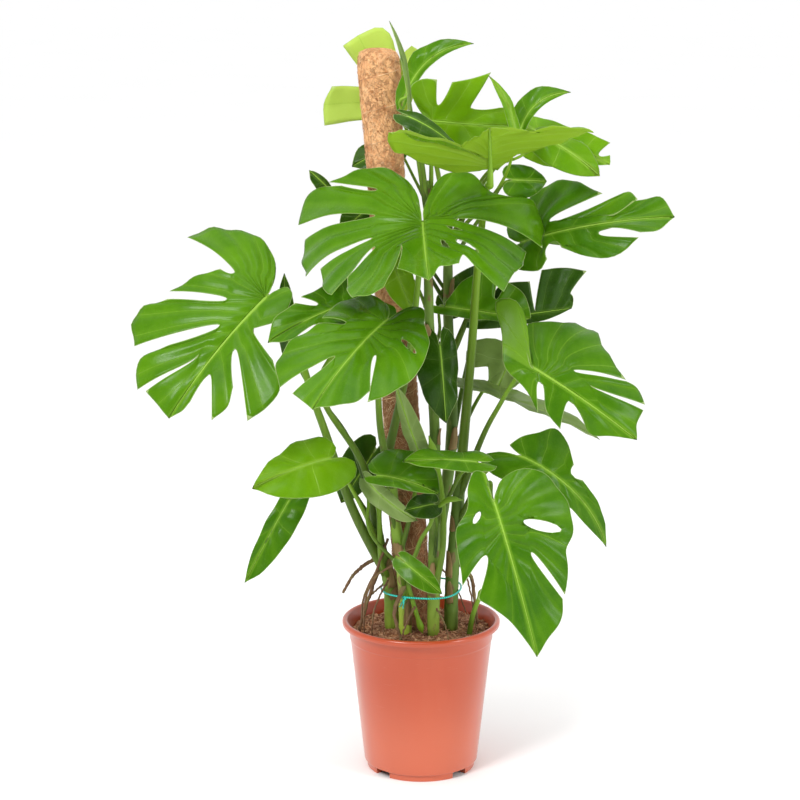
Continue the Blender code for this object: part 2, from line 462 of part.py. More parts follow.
def place_on_leaf(leaf, side, x, y):
    """World points for flat leaf points: x out from the midrib, y from the joint (0) to the tip (1)."""
    joint, length, ahead, right, off = leaf_frame(leaf)
    bend = leaf["bend"]
    turned = 4 * math.atan(2 * bend)
    radius = length / (2 * math.sin(turned / 2))
    arc = radius * turned
    angle = -turned / 2 + y * turned
    forward = radius * (np.sin(angle) + math.sin(turned / 2))
    lifted = radius * (np.cos(angle) - math.cos(turned / 2))
    sign = 1 if side else -1
    spine = joint + forward[..., None] * ahead + lifted[..., None] * off
    spine = spine + (leaf.get("sway", 0) * length * 4 * np.clip(y, -0.3, 1) * (1 - y))[..., None] * right
    up = np.sin(angle)[..., None] * ahead + np.cos(angle)[..., None] * off
    curve = math.radians(leaf["curl"][side]) / (leaf["wide"][side] * arc)
    curve = curve if abs(curve) > 1e-6 else 1e-6
    start = math.radians(leaf["fold"][side])
    tilt = start + curve * x * arc
    across = (np.sin(tilt) - math.sin(start)) / curve
    raised = (math.cos(start) - np.cos(tilt)) / curve
    return spine + right * (sign * across)[..., None] + up * raised[..., None]


def finger_edge(root, slit, row, corner, towards, rows, gap):
    """One edge of a finger: with its neighbour as far as the slit, then on its own to the corner."""
    shared = root + (slit - root) * np.linspace(0, 1, row + 1)[:, None]
    outward = (slit - root) / np.linalg.norm(slit - root)
    aside = towards - slit
    aside = aside - (aside @ outward) * outward
    aside = aside / max(1e-6, np.linalg.norm(aside))
    first = slit + aside * gap * 1.33
    second = slit + (corner - slit) * 0.45 + aside * gap * 0.9
    free = bezier(slit, first, second, corner, np.linspace(0, 1, rows - row + 1)[1:])
    return np.concatenate([shared, free])


def flat_half(leaf, side, columns, rows):
    """The flat grid of each finger of a half leaf, from the basal lobe to the tip."""
    half = leaf.get("right" if side else "left")
    if half is None:
        half = [[(x * leaf["wide"][side], y) for x, y in HEART]]
    gap = leaf.get("gap", SLIT_HALF_WIDTH)
    ends = [np.array(end, float) for end in half[0::2]]
    slits = [np.array(slit, float) for slit in half[1::2]]
    rib = RIB_HALF_WIDTH / leaf_frame(leaf)[1]
    roots = [np.array([rib, min(0.9, max(0.02 * (i + 1), slit[1] - 0.75 * slit[0]))])
             for i, slit in enumerate(slits)]
    shared = []
    for i, (slit, root) in enumerate(zip(slits, roots)):
        reach = (np.linalg.norm(ends[i][-1] - root) + np.linalg.norm(ends[i + 1][0] - root)) / 2
        shared.append(int(np.clip(round(rows * np.linalg.norm(slit - root) / reach), 1, rows - 1)))
    grids = []
    for i, end in enumerate(ends):
        first, last = i == 0, i == len(ends) - 1
        low_root = np.array([rib, 0.0]) if first else roots[i - 1]
        middle = end.mean(axis=0)
        if first:
            notch = low_root + np.array([0.0, end[0][1] * 0.35])
            turn = end[0] + np.array([-0.04, 0.05]) * leaf["wide"][side]
            low = bezier(low_root, notch, turn, end[0], np.linspace(0, 1, rows + 1))
        else:
            low = finger_edge(low_root, slits[i - 1], shared[i - 1], end[0], middle, rows, gap)
        if last:
            high_root = np.array([rib, low_root[1] + (1 - low_root[1]) * (0.5 if first else 0.35)])
            high = high_root + (np.array([rib * 0.3, 1.0]) - high_root) * np.linspace(0, 1, rows + 1)[:, None]
        else:
            high = finger_edge(roots[i], slits[i], shared[i], end[-1], middle, rows, gap)
        if len(end) == 2:
            step = end[1] - end[0]
            bulge = np.array([step[1], -step[0]])
            bulge = bulge if bulge @ (middle - low_root) > 0 else -bulge
            end = np.array([end[0], (end[0] + end[1]) / 2 + bulge * 0.10, end[1]])
        count = columns * (2 if len(end) > 5 else 1)
        margin = smooth_line(end, count + 1)
        margin[-1] = high[-1]
        u = np.linspace(0, 1, count + 1)[:, None]
        grid = low[None] * (1 - u[..., None]) + high[None] * u[..., None]
        pull = margin - (low[-1] * (1 - u) + high[-1] * u)
        grids.append(grid + pull[:, None, :] * (np.linspace(0, 1, rows + 1) ** 1.5)[None, :, None])
    return grids


def zip_edges(bm, left, right):
    """Triangles between two lines of (share of length, vertex), from the joint to the tip."""
    i = j = 0
    while i < len(left) - 1 or j < len(right) - 1:
        if j == len(right) - 1 or (i < len(left) - 1 and left[i + 1][0] <= right[j + 1][0]):
            bm.faces.new((left[i][1], left[i + 1][1], right[j][1]))
            i += 1
        else:
            bm.faces.new((left[i][1], right[j + 1][1], right[j][1]))
            j += 1


def blade(name, leaf, columns, rows, collection, surface):
    """One leaf blade: two halves of fingers on either side of a midrib strip, thickened."""
    bm = bmesh.new()
    midribs = []
    for side in (0, 1):
        known = {}
        inner = []
        grids = flat_half(leaf, side, columns, rows)
        for number, grid in enumerate(grids):
            placed = place_on_leaf(leaf, side, grid[..., 0], grid[..., 1])
            verts = []
            for flat_row, world_row in zip(grid, placed):
                line = []
                for flat_point, world_point in zip(flat_row, world_row):
                    key = (round(flat_point[0], 6), round(flat_point[1], 6))
                    if key not in known:
                        known[key] = bm.verts.new(world_point)
                    line.append(known[key])
                verts.append(line)
            inner += [(grid[k, 0, 1], verts[k][0]) for k in range(len(verts))]
            if number == len(grids) - 1:
                inner += [(grid[-1, k, 1], verts[-1][k]) for k in range(len(verts[-1]))]
            for a in range(len(verts) - 1):
                for b in range(len(verts[0]) - 1):
                    corners = [verts[a][b], verts[a][b + 1], verts[a + 1][b + 1], verts[a + 1][b]]
                    if side == 0:
                        corners.reverse()
                    unique = list(dict.fromkeys(corners))
                    if len(unique) > 2:
                        bm.faces.new(unique)
        ordered = []
        for share, vert in inner:
            if not ordered or ordered[-1][1] is not vert:
                ordered.append((share, vert))
        midribs.append(ordered)
    zip_edges(bm, midribs[0], midribs[1])
    bmesh.ops.recalc_face_normals(bm, faces=bm.faces)
    bm.faces.ensure_lookup_table()
    off = Vector(leaf_frame(leaf)[4])
    if sum((face.normal.dot(off) * face.calc_area() for face in bm.faces), 0.0) < 0:
        bmesh.ops.reverse_faces(bm, faces=bm.faces)
    mesh = bpy.data.meshes.new(name)
    bm.to_mesh(mesh)
    bm.free()
    obj = mesh_object(name, mesh, collection, surface)
    shell = obj.modifiers.new("Thickness", "SOLIDIFY")
    shell.thickness = BLADE_THICKNESS
    shell.offset = 0.0
    shell.use_even_offset = False
    return obj


def stem_point(stem, height):
    line = np.array(stem, float)
    return np.array([np.interp(height, line[:, 2], line[:, axis]) for axis in range(3)])


def stalk_line(stem, start, way, leaf, end_radius, count):
    """A smooth line from inside the main stem to just under the blade's joint."""
    joint, _, ahead, _, off = leaf_frame(leaf)
    droop = max(0.0, -min(leaf["fold"]))
    drop = BLADE_THICKNESS / 2 + GAP + end_radius * (0.75 + math.sin(math.radians(droop)))
    top = joint - off * drop
    below = top - (off * 0.75 + ahead * 0.25) * STALK_BEND
    return smooth_line([stem_point(stem, start), *way, below, top], count)


def plant(name, parts, collection, helpers, surface):
    """A main stem with its leaf stalks and aerial roots, grown together into one body."""
    foot, top = parts["radii"]
    line = smooth_line(parts["stem"], 7)
    body = tube(name, line, np.linspace(foot, top, 7), collection, surface, 2)
    pieces = []
    for leaf_name, (start, radius, way) in parts["stalks"].items():
        end_radius = max(0.0018, radius * 0.5)
        path = stalk_line(parts["stem"], start, way, LEAVES[leaf_name], end_radius, 8)
        pieces.append(tube(leaf_name + "_stalk", path, np.linspace(radius, end_radius, 8), helpers, None))
    for number, (radius, way) in enumerate(parts["shoots"]):
        path = smooth_line(way, 8)
        radii = np.linspace(radius, radius * 0.8, 8)
        pieces.append(tube(f"{name}_shoot_{number}", path, radii, helpers, None))
    for number, way in enumerate(parts["roots"]):
        path = smooth_line(way, 5)
        pieces.append(tube(f"{name}_root_{number}", path, np.linspace(0.0034, 0.0022, 5), helpers, None))
    for piece in pieces:
        as_cutter(piece)
        join = body.modifiers.new("Join " + piece.name, "BOOLEAN")
        join.operation = "UNION"
        join.solver = "EXACT"
        join.object = piece
    return body


def pole_point(height):
    return POLE_FOOT + POLE_LEAN * (height - POLE_FOOT.z)


def build_pot(parts, helpers):
    rim_low = POT_HEIGHT - RIM_HEIGHT
    inner_floor = FOOT_HEIGHT * 0.4 + WALL
    profile = [
        (0.0, inner_floor),
        (BASE_RADIUS - WALL - 0.004, inner_floor),
        (BASE_RADIUS - WALL, inner_floor + 0.006),
        (NECK_RADIUS - WALL, rim_low - 0.006),
        (RIM_RADIUS - 0.0075, POT_HEIGHT - 0.0015),
        (RIM_RADIUS - 0.0050, POT_HEIGHT),
        (RIM_RADIUS - 0.0015, POT_HEIGHT - 0.0010),
        (RIM_RADIUS, POT_HEIGHT - 0.0035),
        (RIM_RADIUS - 0.0006, rim_low + 0.0006),
        (RIM_RADIUS - 0.0030, rim_low),
        (NECK_RADIUS + 0.0008, rim_low - 0.0035),
        (NECK_RADIUS, rim_low - 0.0200),
        (NECK_RADIUS - 0.0012, rim_low - 0.0225),
        (BASE_RADIUS, FOOT_HEIGHT + 0.001),
        (BASE_RADIUS - 0.001, FOOT_HEIGHT),
        (FOOT_RADIUS, FOOT_HEIGHT),
        (FOOT_RADIUS - 0.0006, 0.0),
        (FOOT_RADIUS - FOOT_WIDTH, 0.0),
        (FOOT_RADIUS - FOOT_WIDTH - 0.001, 0.0022),
        (0.034, 0.0022),
        (0.033, 0.0),
        (0.0, 0.0),
    ]
    pot = turned("pot", profile, POT_SEGMENTS, parts, material("pot_plastic", (0.52, 0.11, 0.045, 1.0), 0.35))
    for quarter in range(4):
        angle = math.radians(45 + 90 * quarter)
        bm = bmesh.new()
        bmesh.ops.create_cube(bm, size=1.0)
        width = 2 * FOOT_RADIUS * math.sin(math.radians(NOTCH_ANGLE / 2))
        out = Matrix.Translation((FOOT_RADIUS - 0.004, 0, NOTCH_HEIGHT / 2 - 0.004))
        size = Matrix.Diagonal((0.030, width, NOTCH_HEIGHT + 0.004, 1))
        bmesh.ops.transform(bm, matrix=Matrix.Rotation(angle, 4, "Z") @ out @ size, verts=bm.verts)
        mesh = bpy.data.meshes.new(f"foot_notch_{quarter}")
        bm.to_mesh(mesh)
        bm.free()
        notch = mesh_object(f"foot_notch_{quarter}", mesh, helpers, None)
        as_cutter(notch)
        cut = pot.modifiers.new(f"Notch {quarter}", "BOOLEAN")
        cut.operation = "DIFFERENCE"
        cut.solver = "EXACT"
        cut.object = notch


def inside_radius(height):
    """Radius of the soil at a height, just clear of the pot's wall."""
    low, high = FOOT_HEIGHT, POT_HEIGHT - RIM_HEIGHT
    share = (height - low) / (high - low)
    return BASE_RADIUS + (NECK_RADIUS - BASE_RADIUS) * share - WALL - 2 * GAP


def build_soil(parts, helpers):
    inner_floor = FOOT_HEIGHT * 0.4 + WALL + GAP
    profile = [
        (0.0, SOIL_TOP + SOIL_MOUND),
        (0.064, SOIL_TOP + SOIL_MOUND),
        (0.080, SOIL_TOP + SOIL_MOUND * 0.5),
        (inside_radius(SOIL_TOP) - 0.005, SOIL_TOP - 0.001),
        (inside_radius(SOIL_TOP - 0.005), SOIL_TOP - 0.005),
        (inside_radius(0.0150), 0.0150),
        (BASE_RADIUS - WALL - 0.0055, inner_floor),
        (0.0, inner_floor),
    ]
    brown = material("soil_fibre", (0.11, 0.055, 0.03, 1.0), 0.95)
    soil = turned("soil", profile, POT_SEGMENTS, parts, brown)
    low, high = pole_point(0.004), pole_point(SOIL_TOP + 0.03)
    hole = tube("stake_hole", [low, high], [STAKE_RADIUS + GAP * 1.5] * 2, helpers, None, 3)
    as_cutter(hole)
    cut = soil.modifiers.new("Stake hole", "BOOLEAN")
    cut.operation = "DIFFERENCE"
    cut.solver = "EXACT"
    cut.object = hole


def build_pole(parts, helpers):
    stake_top = SLEEVE_TOP - 0.030
    tube("pole_stake", [pole_point(0.0085), pole_point(stake_top)], [STAKE_RADIUS] * 2, parts,
         material("stake_wood", (0.42, 0.26, 0.13, 1.0), 0.75), 3)
    heights = [SLEEVE_BOTTOM, 0.30, 0.45, 0.60, 0.75, 0.90, 0.97, 1.00, 1.03, 1.06, 1.075, 1.083, SLEEVE_TOP]
    widths = [1.0, 0.98, 1.02, 0.98, 1.0, 1.0, 1.05, 1.10, 1.14, 1.13, 1.05, 0.85, 0.45]
    sleeve = tube("pole_sleeve", [pole_point(height) for height in heights],
                  [SLEEVE_RADIUS * width for width in widths], parts,
                  material("sleeve_coir", (0.50, 0.22, 0.09, 1.0), 0.95), 4)
    bore = tube("stake_bore", [pole_point(SLEEVE_BOTTOM - 0.02), pole_point(stake_top + 0.001)],
                [STAKE_RADIUS + GAP] * 2, helpers, None, 3)
    as_cutter(bore)
    cut = sleeve.modifiers.new("Stake bore", "BOOLEAN")
    cut.operation = "DIFFERENCE"
    cut.solver = "EXACT"
    cut.object = bore


def build_tie(parts, helpers):
    string = material("tie_string", (0.0, 0.42, 0.36, 1.0), 0.4)
    curve = bpy.data.curves.new("tie", "CURVE")
    curve.dimensions = "3D"
    curve.bevel_depth = TIE_THICKNESS
    curve.bevel_resolution = 1
    spline = curve.splines.new("POLY")
    count = 32
    spline.points.add(count - 1)
    for i, point in enumerate(spline.points):
        angle = 2 * math.pi * i / count
        point.co = (TIE_RADIUS * math.cos(angle), TIE_RADIUS * math.sin(angle), TIE_HEIGHT, 1.0)
    spline.use_cyclic_u = True
    helper = bpy.data.objects.new("tie_line", curve)
    bpy.context.scene.collection.objects.link(helper)
    mesh = bpy.data.meshes.new_from_object(helper.evaluated_get(bpy.context.evaluated_depsgraph_get()))
    bpy.data.objects.remove(helper)
    tie = mesh_object("tie", mesh, parts, string)
    knot_angle = math.radians(246)
    knot = Vector((TIE_RADIUS * math.cos(knot_angle), TIE_RADIUS * math.sin(knot_angle), TIE_HEIGHT))
    out = Vector((math.cos(knot_angle), math.sin(knot_angle), 0))
    ends = [
        [knot, knot + out * 0.004 + Vector((-0.003, 0, -0.006)),
         knot + out * 0.005 + Vector((-0.006, 0, -0.013))],
        [knot, knot + out * 0.003 + Vector((-0.001, 0, -0.007)),
         knot + out * 0.004 + Vector((-0.001, 0, -0.015))],
    ]
    radii = [0.0014, 0.0012, 0.0010]
    pieces = [tube(f"tie_end_{i}", way, radii, helpers, None) for i, way in enumerate(ends)]
    bm = bmesh.new()
    place = Matrix.Translation(knot + out * 0.001)
    bmesh.ops.create_icosphere(bm, subdivisions=1, radius=0.0036, matrix=place)
    mesh = bpy.data.meshes.new("tie_knot")
    bm.to_mesh(mesh)
    bm.free()
    pieces.append(mesh_object("tie_knot", mesh, helpers, None))
    for piece in pieces:
        as_cutter(piece)
        join = tie.modifiers.new("Join " + piece.name, "BOOLEAN")
        join.operation = "UNION"
        join.solver = "EXACT"
        join.object = piece


def main():
    clear_scene()
    parts = collection_named("potted_monstera", True)
    helpers = collection_named("cutters", False)
    build_pot(parts, helpers)
    build_soil(parts, helpers)
    build_pole(parts, helpers)
    build_tie(parts, helpers)
    for name, leaf in LEAVES.items():
        split = max(len(leaf.get("left") or [0]), len(leaf.get("right") or [0])) > 1
        green = material(name + "_green", LEAF_COLOURS[leaf["tone"]], 0.35)
        blade(name, leaf, 2, 5 if split else 3, parts, green)
    for name, stems in PLANTS.items():
        plant(name, stems, parts, helpers, material(name + "_green", STEM_GREEN, 0.45))


main()
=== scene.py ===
"""A potted monstera on a coir pole: fine leaves, stalks, roots, pole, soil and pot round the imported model."""

import math
import random

import bmesh
import bpy
import numpy as np
from mathutils import Matrix, Vector, kdtree, noise


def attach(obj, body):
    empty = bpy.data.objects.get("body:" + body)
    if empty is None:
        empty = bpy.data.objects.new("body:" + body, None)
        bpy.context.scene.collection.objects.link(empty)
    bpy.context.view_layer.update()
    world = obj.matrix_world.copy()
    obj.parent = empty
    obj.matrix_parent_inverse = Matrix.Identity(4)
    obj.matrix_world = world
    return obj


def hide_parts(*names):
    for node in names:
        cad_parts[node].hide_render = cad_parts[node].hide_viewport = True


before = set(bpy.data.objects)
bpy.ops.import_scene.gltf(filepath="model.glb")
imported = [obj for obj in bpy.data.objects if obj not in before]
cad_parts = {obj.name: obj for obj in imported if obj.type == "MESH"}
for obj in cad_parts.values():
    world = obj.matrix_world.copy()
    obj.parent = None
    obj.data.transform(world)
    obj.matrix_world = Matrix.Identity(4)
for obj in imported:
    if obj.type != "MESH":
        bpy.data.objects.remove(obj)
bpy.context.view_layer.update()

# The same as the model's: sizes in metres, NOTCH_ANGLE in degrees, and SLIT_HALF_WIDTH as a share of
# the leaf's length.
POT_HEIGHT = 0.232
RIM_RADIUS = 0.120
RIM_HEIGHT = 0.009
NECK_RADIUS = 0.1085
BASE_RADIUS = 0.0862
FOOT_RADIUS = 0.0825
FOOT_HEIGHT = 0.010
FOOT_WIDTH = 0.010
WALL = 0.0028
NOTCH_ANGLE = 19.0
NOTCH_HEIGHT = 0.013
SOIL_TOP = 0.216
SOIL_MOUND = 0.004
POLE_FOOT = Vector((0.003, 0.014, 0.012))
POLE_LEAN = Vector((-0.0625, 0.006, 1.0))
SLEEVE_TOP = 1.086
SLEEVE_RADIUS = 0.0270
TIE_RADIUS = 0.0605
TIE_HEIGHT = 0.280
SLIT_HALF_WIDTH = 0.02

# Finer than the model's, or only here, in metres.
BLADE_THICKNESS = 0.0006
RIB_HALF_WIDTH = 0.0010
SOIL_RADIUS = 0.1042
MOUND_RADIUS = 0.104
SLEEVE_FOOT = 0.212

# Outline of an unsplit half leaf: share of the half width, share of the length.
HEART = [(0.10, -0.15), (0.32, -0.24), (0.68, -0.18), (0.93, 0.02), (1.0, 0.28), (0.86, 0.56), (0.50, 0.83),
         (0.0, 1.0)]

# Each leaf: where its stalk joins the blade, where its tip is, and the way its upper face looks
# (degrees round from the front, degrees up). wide: half width, as a share of the length.
# bend: rise of the arched midrib. fold and curl: degrees of tilt at the midrib and of droop to the margin.
# Where the halves differ, wide, fold and curl are pairs, left and right.
# A split half is a list of finger ends, from the stalk to the tip, with the inner end of each slit between.
# gap: half the width of its slits, as a share of the length.
LEAVES = {
    "leaf_left_large": dict(
        tone="mid", joint=(-0.223, -0.06, 0.736), tip=(-0.361, -0.14, 0.572), face=(-15, 35),
        wide=(0.62, 0.72), bend=0.06, fold=6, curl=-25,
        left=[[(0.03, -0.07), (0.06, -0.12), (0.12, -0.1), (0.17, -0.02), (0.19, 0.12)], (0.1, 0.24),
            [(0.34, 0.34), (0.5, 0.48), (0.49, 0.62), (0.45, 0.74)], (0.1, 0.42), [(0.25, 0.62),
            (0.29, 0.74), (0.26, 0.86)], (0.07, 0.64), [(0.07, 0.84), (0.05, 0.91), (0, 1)]],
        right=[[(0.05, -0.1), (0.11, -0.2), (0.24, -0.29), (0.39, -0.33), (0.58, -0.29), (0.74, -0.22),
            (0.81, -0.1)], (0.28, 0), [(0.37, 0.03), (0.45, 0.12), (0.55, 0.33)], (0.18, 0.18),
            [(0.52, 0.38), (0.65, 0.52), (0.63, 0.63), (0.49, 0.75)], (0.09, 0.35), [(0.28, 0.62),
            (0.39, 0.81), (0.37, 0.88), (0.28, 0.96)], (0.08, 0.57), [(0.22, 0.94), (0.1, 0.97), (0, 1)]]),
    "leaf_front_large": dict(
        tone="mid", joint=(0.0, -0.1, 0.85), tip=(0.007, -0.26, 0.789), face=(0, 62), wide=1.0, bend=-0.05,
        fold=4, curl=-50,
        left=[[(0.04, -0.2), (0.12, -0.42), (0.26, -0.55), (0.42, -0.56), (0.65, -0.42), (0.95, -0.5),
            (1.2, -0.52), (1.26, -0.42), (1.16, -0.13)], (0.27, 0.0), [(0.92, 0.09), (0.88, 0.26),
            (0.76, 0.48), (0.6, 1.0)], (0.3, 0.49), [(0.26, 0.64), (0.14, 0.72), (0, 1)]],
        right=[[(0.04, -0.2), (0.08, -0.42), (0.22, -0.6), (0.48, -0.66), (0.8, -0.64)], (0.36, -0.39),
            [(0.68, -0.56), (0.92, -0.64), (1.08, -0.6), (1.17, -0.42)], (0.39, -0.11), [(1.08, -0.22),
            (1.15, -0.1), (1.09, 0.17)], (0.42, 0.18), [(0.9, 0.26), (0.88, 0.55), (0.79, 0.79)],
            (0.4, 0.32), [(0.65, 0.6), (0.66, 0.82), (0.54, 1.1), (0.36, 1.05)], (0.19, 0.35),
            [(0.24, 0.72), (0.1, 0.85), (0, 1)]]),
    "leaf_front_left": dict(
        tone="mid", joint=(-0.049, -0.16, 0.719), tip=(-0.151, -0.28, 0.615), face=(-20, 45),
        wide=(0.5, 0.52), bend=0.06, fold=8, curl=-25,
        right=[[(0.06, -0.1), (0.16, -0.18), (0.32, -0.18), (0.44, -0.04), (0.46, 0.12), (0.42, 0.24)],
            (0.22, 0.22), [(0.41, 0.3), (0.52, 0.55), (0.5, 0.74), (0.32, 0.94)], (0.1, 0.54), [(0.2, 0.95),
            (0.1, 0.97), (0, 1)]],
        left=[[(0.02, -0.1), (0.05, -0.22), (0.16, -0.22), (0.29, -0.05), (0.42, 0.08), (0.47, 0.19),
            (0.52, 0.42), (0.46, 0.64), (0.35, 0.79)], (0.17, 0.41), [(0.32, 0.7), (0.26, 0.82), (0, 1)]]),
    "leaf_right_large": dict(
        tone="mid", joint=(0.158, -0.12, 0.642), tip=(0.306, -0.14, 0.541), face=(12, 25), wide=0.62,
        bend=0.05, fold=(-5, -20), curl=(-35, -15),
        left=[[(0.05, -0.09), (0.17, -0.18), (0.36, -0.25), (0.45, -0.12), (0.69, 0.09), (0.74, 0.21),
            (0.54, 0.4), (0.37, 0.67)], (0.16, 0.28), [(0.36, 0.68), (0.39, 0.79), (0.29, 0.91)],
            (0.12, 0.45), [(0.24, 0.92), (0.1, 0.94), (0, 1)]],
        right=[[(-0.1, -0.15), (-0.34, -0.28), (-0.4, -0.42), (-0.34, -0.52), (-0.12, -0.36),
            (0.12, -0.18), (0.17, 0.02), (0.28, 0.23)], (0.07, 0.1), [(0.12, 0.18), (0.23, 0.27),
            (0.29, 0.45)], (0.07, 0.38), [(0.12, 0.55), (0.19, 0.67), (0.11, 0.8), (0, 1)]]),
    "leaf_right_low": dict(
        tone="mid", joint=(0.1, -0.2, 0.467), tip=(0.161, -0.24, 0.25), face=(8, 20), wide=(0.47, 0.33),
        bend=0.05, fold=0, curl=-25,
        left=[[(0.03, -0.05), (0.07, -0.1), (0.17, -0.14), (0.3, -0.13), (0.45, 0.05), (0.47, 0.23),
            (0.43, 0.34), (0.36, 0.42), (0.32, 0.59), (0.27, 0.68)], (0.13, 0.37), [(0.25, 0.7),
            (0.23, 0.79), (0.1, 0.9), (0, 1)]],
        right=[[(0.01, -0.1), (0.0, -0.18), (0.05, -0.21), (0.12, -0.14), (0.17, 0), (0.27, 0.1),
            (0.31, 0.3), (0.33, 0.45)], (0.14, 0.31), [(0.26, 0.55), (0.13, 0.7), (0.04, 0.89), (0, 1)]]),
    "leaf_right_high": dict(
        tone="mid", joint=(0.147, 0.045, 0.799), tip=(0.363, -0.05, 0.849), face=(0, 35), wide=(0.4, 0.22),
        bend=0.07, fold=0, curl=-15, gap=0.035,
        left=[[(0.05, -0.08), (0.14, -0.12), (0.26, -0.02), (0.36, 0.14), (0.38, 0.26), (0.35, 0.36),
            (0.29, 0.44), (0.2, 0.56)], (0.07, 0.23), [(0.17, 0.66), (0.2, 0.72), (0.13, 0.78)],
            (0.05, 0.59), [(0.12, 0.75), (0.13, 0.92), (0, 1)]],
        right=[[(0.04, -0.1), (0.12, -0.08), (0.2, 0.05), (0.21, 0.14), (0.16, 0.2)], (0.07, 0.22),
            [(0.11, 0.3), (0.2, 0.48), (0.22, 0.64), (0.12, 0.79)], (0.05, 0.55), [(0.09, 0.8), (0.08, 0.9),
            (0, 1)]]),
    "leaf_left_shaded": dict(
        tone="mid", joint=(-0.09, -0.06, 0.73), tip=(-0.22, -0.12, 0.678), face=(-25, 40), wide=0.45,
        bend=0.06, fold=14, curl=-20,
        right=[[(0.04, -0.12), (0.12, -0.2), (0.24, -0.14), (0.3, 0.1), (0.28, 0.3), (0.24, 0.5)],
            (0.1, 0.4), [(0.2, 0.58), (0.16, 0.84), (0, 1)]],
        left=[[(0.05, -0.12), (0.18, -0.24), (0.4, -0.15), (0.48, 0.2), (0.4, 0.55), (0.28, 0.72)],
            (0.14, 0.55), [(0.18, 0.8), (0.1, 0.9), (0, 1)]]),
    "leaf_right_folded": dict(
        tone="mid", joint=(0.143, -0.1, 0.508), tip=(0.273, -0.06, 0.36), face=(35, 50), wide=(0.28, 0.3),
        bend=0.13, fold=(35, -40), curl=(20, -10),
        left=[[(0.04, -0.1), (0.12, -0.05), (0.2, 0.04), (0.28, 0.12), (0.24, 0.22), (0.14, 0.34)],
            (0.08, 0.36), [(0.1, 0.45), (0.08, 0.7), (0, 1)]],
        right=[[(0.03, -0.16), (0.1, -0.28), (0.16, -0.22), (0.2, -0.05), (0.16, 0.18), (0.11, 0.45),
            (0.07, 0.78), (0, 1)]]),
    "leaf_heart_left": dict(
        tone="bright", joint=(-0.13, -0.1, 0.505), tip=(-0.244, -0.14, 0.469), face=(-10, 42), wide=0.42,
        bend=0.07, fold=10, curl=-45,
        right=[[(0.05, -0.06), (0.16, -0.12), (0.3, -0.06), (0.38, 0.1), (0.37, 0.32), (0.26, 0.6),
            (0.12, 0.85), (0, 1)]]),
    "leaf_hanging_left": dict(
        tone="mid", joint=(-0.195, -0.02, 0.425), tip=(-0.264, -0.04, 0.299), face=(-20, 15),
        wide=(0.22, 0.1), bend=0.02, fold=(10, 20), curl=-20),
    "leaf_behind_left": dict(
        tone="dark", joint=(-0.072, 0.06, 0.476), tip=(-0.122, 0.06, 0.396), face=(10, 10),
        wide=(0.25, 0.4), bend=0.02, fold=10, curl=-20),
    "leaf_low_front": dict(
        tone="mid", joint=(-0.065, -0.12, 0.484), tip=(0.025, -0.16, 0.466), face=(-5, 45),
        wide=(0.55, 0.14), bend=0.1, fold=(10, -10), curl=-40),
    "leaf_low_cross": dict(
        tone="mid", joint=(0.079, -0.16, 0.513), tip=(-0.029, -0.2, 0.523), face=(0, 60), wide=(0.18, 0.22),
        bend=0.04, fold=10, curl=-40),
    "leaf_young_upright": dict(
        tone="pale", joint=(-0.004, -0.06, 0.504), tip=(-0.038, -0.1, 0.613), face=(-10, 5),
        wide=(0.1, 0.14), bend=0.04, fold=0, curl=-20),
    "leaf_centre_hanging": dict(
        tone="dark", joint=(0.026, -0.05, 0.662), tip=(0.035, -0.07, 0.55), face=(5, 15), wide=(0.22, 0.34),
        bend=0.04, fold=(-10, -20), curl=-20),
    "leaf_top_back": dict(
        tone="bright", joint=(-0.032, 0.06, 1.064), tip=(-0.062, 0.09, 0.954), face=(-10, -10),
        wide=(0.3, 0.72), bend=0.04, fold=5, curl=10,
        right=[[(0.1, -0.12), (0.2, -0.28), (0.34, -0.34), (0.55, -0.2), (0.74, 0.0)], (0.22, 0.41),
            [(0.74, 0.5), (0.78, 0.75), (0.71, 1.03)], (0.1, 0.8), [(0.14, 0.88), (0.08, 0.96), (0, 1)]]),
    "leaf_top_curved": dict(
        tone="mid", joint=(-0.022, -0.02, 1.026), tip=(0.073, -0.04, 1.095), face=(-10, 30),
        wide=(0.2, 0.08), bend=0.05, fold=6, curl=-20, sway=-0.15),
    "leaf_top_spear": dict(
        tone="pale", joint=(-0.021, -0.07, 1.022), tip=(-0.047, -0.1, 1.129), face=(60, 10), wide=0.07,
        bend=0.02, fold=20, curl=0, sway=0.04),
    "leaf_top_bright": dict(
        tone="bright", joint=(0.012, -0.04, 0.986), tip=(0.142, 0.0, 0.975), face=(-5, -10),
        wide=(0.45, 0.25), bend=0.04, fold=0, curl=-10,
        left=[[(0.06, -0.1), (0.2, -0.21), (0.34, -0.26), (0.43, -0.14), (0.44, 0.0)], (0.18, 0.05),
            [(0.43, 0.16), (0.48, 0.36), (0.56, 0.58)], (0.18, 0.4), [(0.17, 0.62), (0.19, 0.8),
            (0.1, 0.95), (0, 1)]]),
    "leaf_top_wide": dict(
        tone="bright", joint=(0.096, -0.08, 0.921), tip=(0.087, -0.27, 0.995), face=(180, 74), wide=0.7,
        bend=0.04, fold=0, curl=-10,
        left=[[(0.05, -0.04), (0.12, 0.12), (0.27, 0.32), (0.43, 0.52), (0.54, 0.8), (0.64, 1.35),
            (0.4, 1.1)], (0.26, 0.82), [(0.14, 0.9), (0.07, 0.95), (0, 1)]],
        right=[[(0.07, -0.05), (0.24, -0.04), (0.41, 0.11), (0.58, 0.35), (0.66, 0.6), (0.67, 0.9),
            (0.62, 1.22), (0.48, 0.7)], (0.22, 0.34), [(0.17, 0.46), (0.09, 0.66), (0, 1)]]),
    "leaf_top_right_upright": dict(
        tone="mid", joint=(0.139, -0.05, 0.972), tip=(0.21, -0.06, 1.028), face=(-10, 25), wide=(0.28, 0.1),
        bend=0.06, fold=0, curl=-20, sway=-0.17),
    "leaf_top_right_curl": dict(
